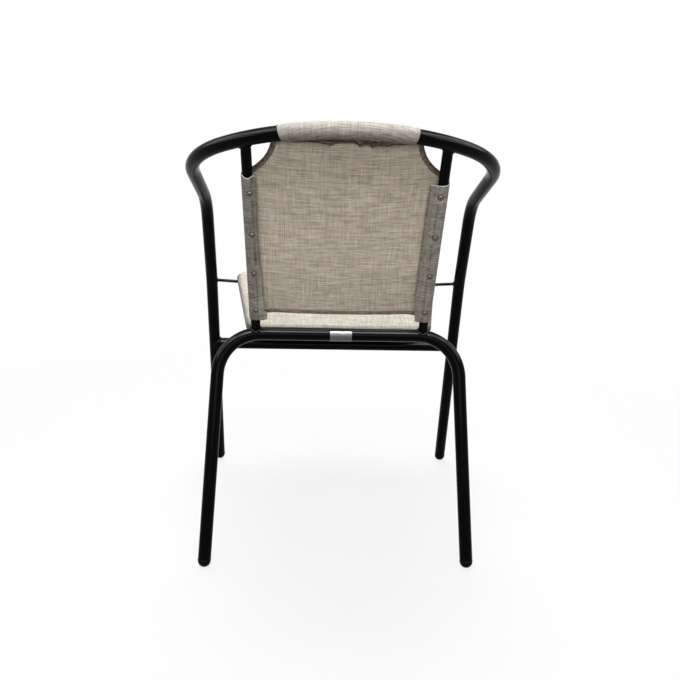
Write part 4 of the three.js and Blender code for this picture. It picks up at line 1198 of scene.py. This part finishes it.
def seen_directly(g):
    """1 for rays that come from the camera, a gloss or glass, else 0."""
    path = g.node("ShaderNodeLightPath").outputs
    camera_or_gloss = g.math("MAXIMUM", path["Is Camera Ray"], path["Is Glossy Ray"])
    return g.math("MAXIMUM", camera_or_gloss, path["Is Transmission Ray"])


def light_world():
    """White to look at, and a dim light all round."""
    world = bpy.data.worlds.new("studio")
    bpy.context.scene.world = world
    world.use_nodes = True
    world.node_tree.nodes.clear()
    g = Graph(world.node_tree)
    dim, white = (g.node("ShaderNodeBackground", WHITE, strength) for strength in (WORLD_LIGHT, 1.0))
    g.node("ShaderNodeOutputWorld", g.node("ShaderNodeMixShader", seen_directly(g), dim, white))


def lay_floor():
    """A white floor that keeps the chair's soft shadow and fades into the white behind it."""
    mesh = bpy.data.meshes.new("studio_floor")
    mesh.from_pydata([(-5, -5, 0), (5, -5, 0), (5, 5, 0), (-5, 5, 0)], [], [(0, 1, 2, 3)])
    material, g, shader = new_material("white studio floor")
    direct = seen_directly(g)
    colour = g.mix(direct, FLOOR_GREY, (0.9, 0.9, 0.9, 1))
    g.fill(shader, {"Base Color": colour, "Roughness": 0.9, "Specular IOR Level": 0.0})
    away = g.node("ShaderNodeVectorMath", g.node("ShaderNodeTexCoord").outputs["Object"], operation="LENGTH")
    fade = g.times(g.ramp(away.outputs["Value"], 0.75, 1.6), direct)
    lit = g.node("ShaderNodeMixShader", g.times(direct, FLOOR_GLOW), shader, g.node("ShaderNodeEmission"))
    faded = g.node("ShaderNodeMixShader", fade, lit, g.node("ShaderNodeBsdfTransparent"))
    g.put(material.node_tree.nodes["Material Output"].inputs[0], faded)
    mesh.materials.append(material)
    in_scene("studio_floor", mesh)


place_camera()
light_world()
lay_floor()
soft_lamp("overhead lamp", (0.1, -0.35, 2.7), (0, 0, 0.4), (1.2, 1.2), 42)
soft_lamp("rear lamp", (0.1, 1.40, 2.30), (0, 0.1, 0.4), (1.6, 0.22), 15)
soft_lamp("rear gloss panel", (0.1, 1.55, 2.55), (0, 0.1, 0.4), (2.2, 1.2), 420, for_gloss_alone=True)
soft_lamp("overhead gloss panel", (0.1, 1.25, 3.1), (0.1, 1.2, 0.4), (5.6, 2.5), 750, for_gloss_alone=True)
for side, x in (("left", 2.7), ("right", -2.7)):
    soft_lamp(f"{side} gloss panel", (x, 0.4, 2.25), (0, 0.2, 0.7), (3.0, 1.9), 175, for_gloss_alone=True)
soft_lamp("front fill", (-0.8, -2.6, 1.5), (0, 0, 0.5), (1.4, 1.2), 14)
soft_lamp("rear fill", (0.1, 2.6, 0.9), (0, 0, 0.55), (1.6, 1.1), 20.5)
bpy.context.scene.view_settings.view_transform = "Standard"
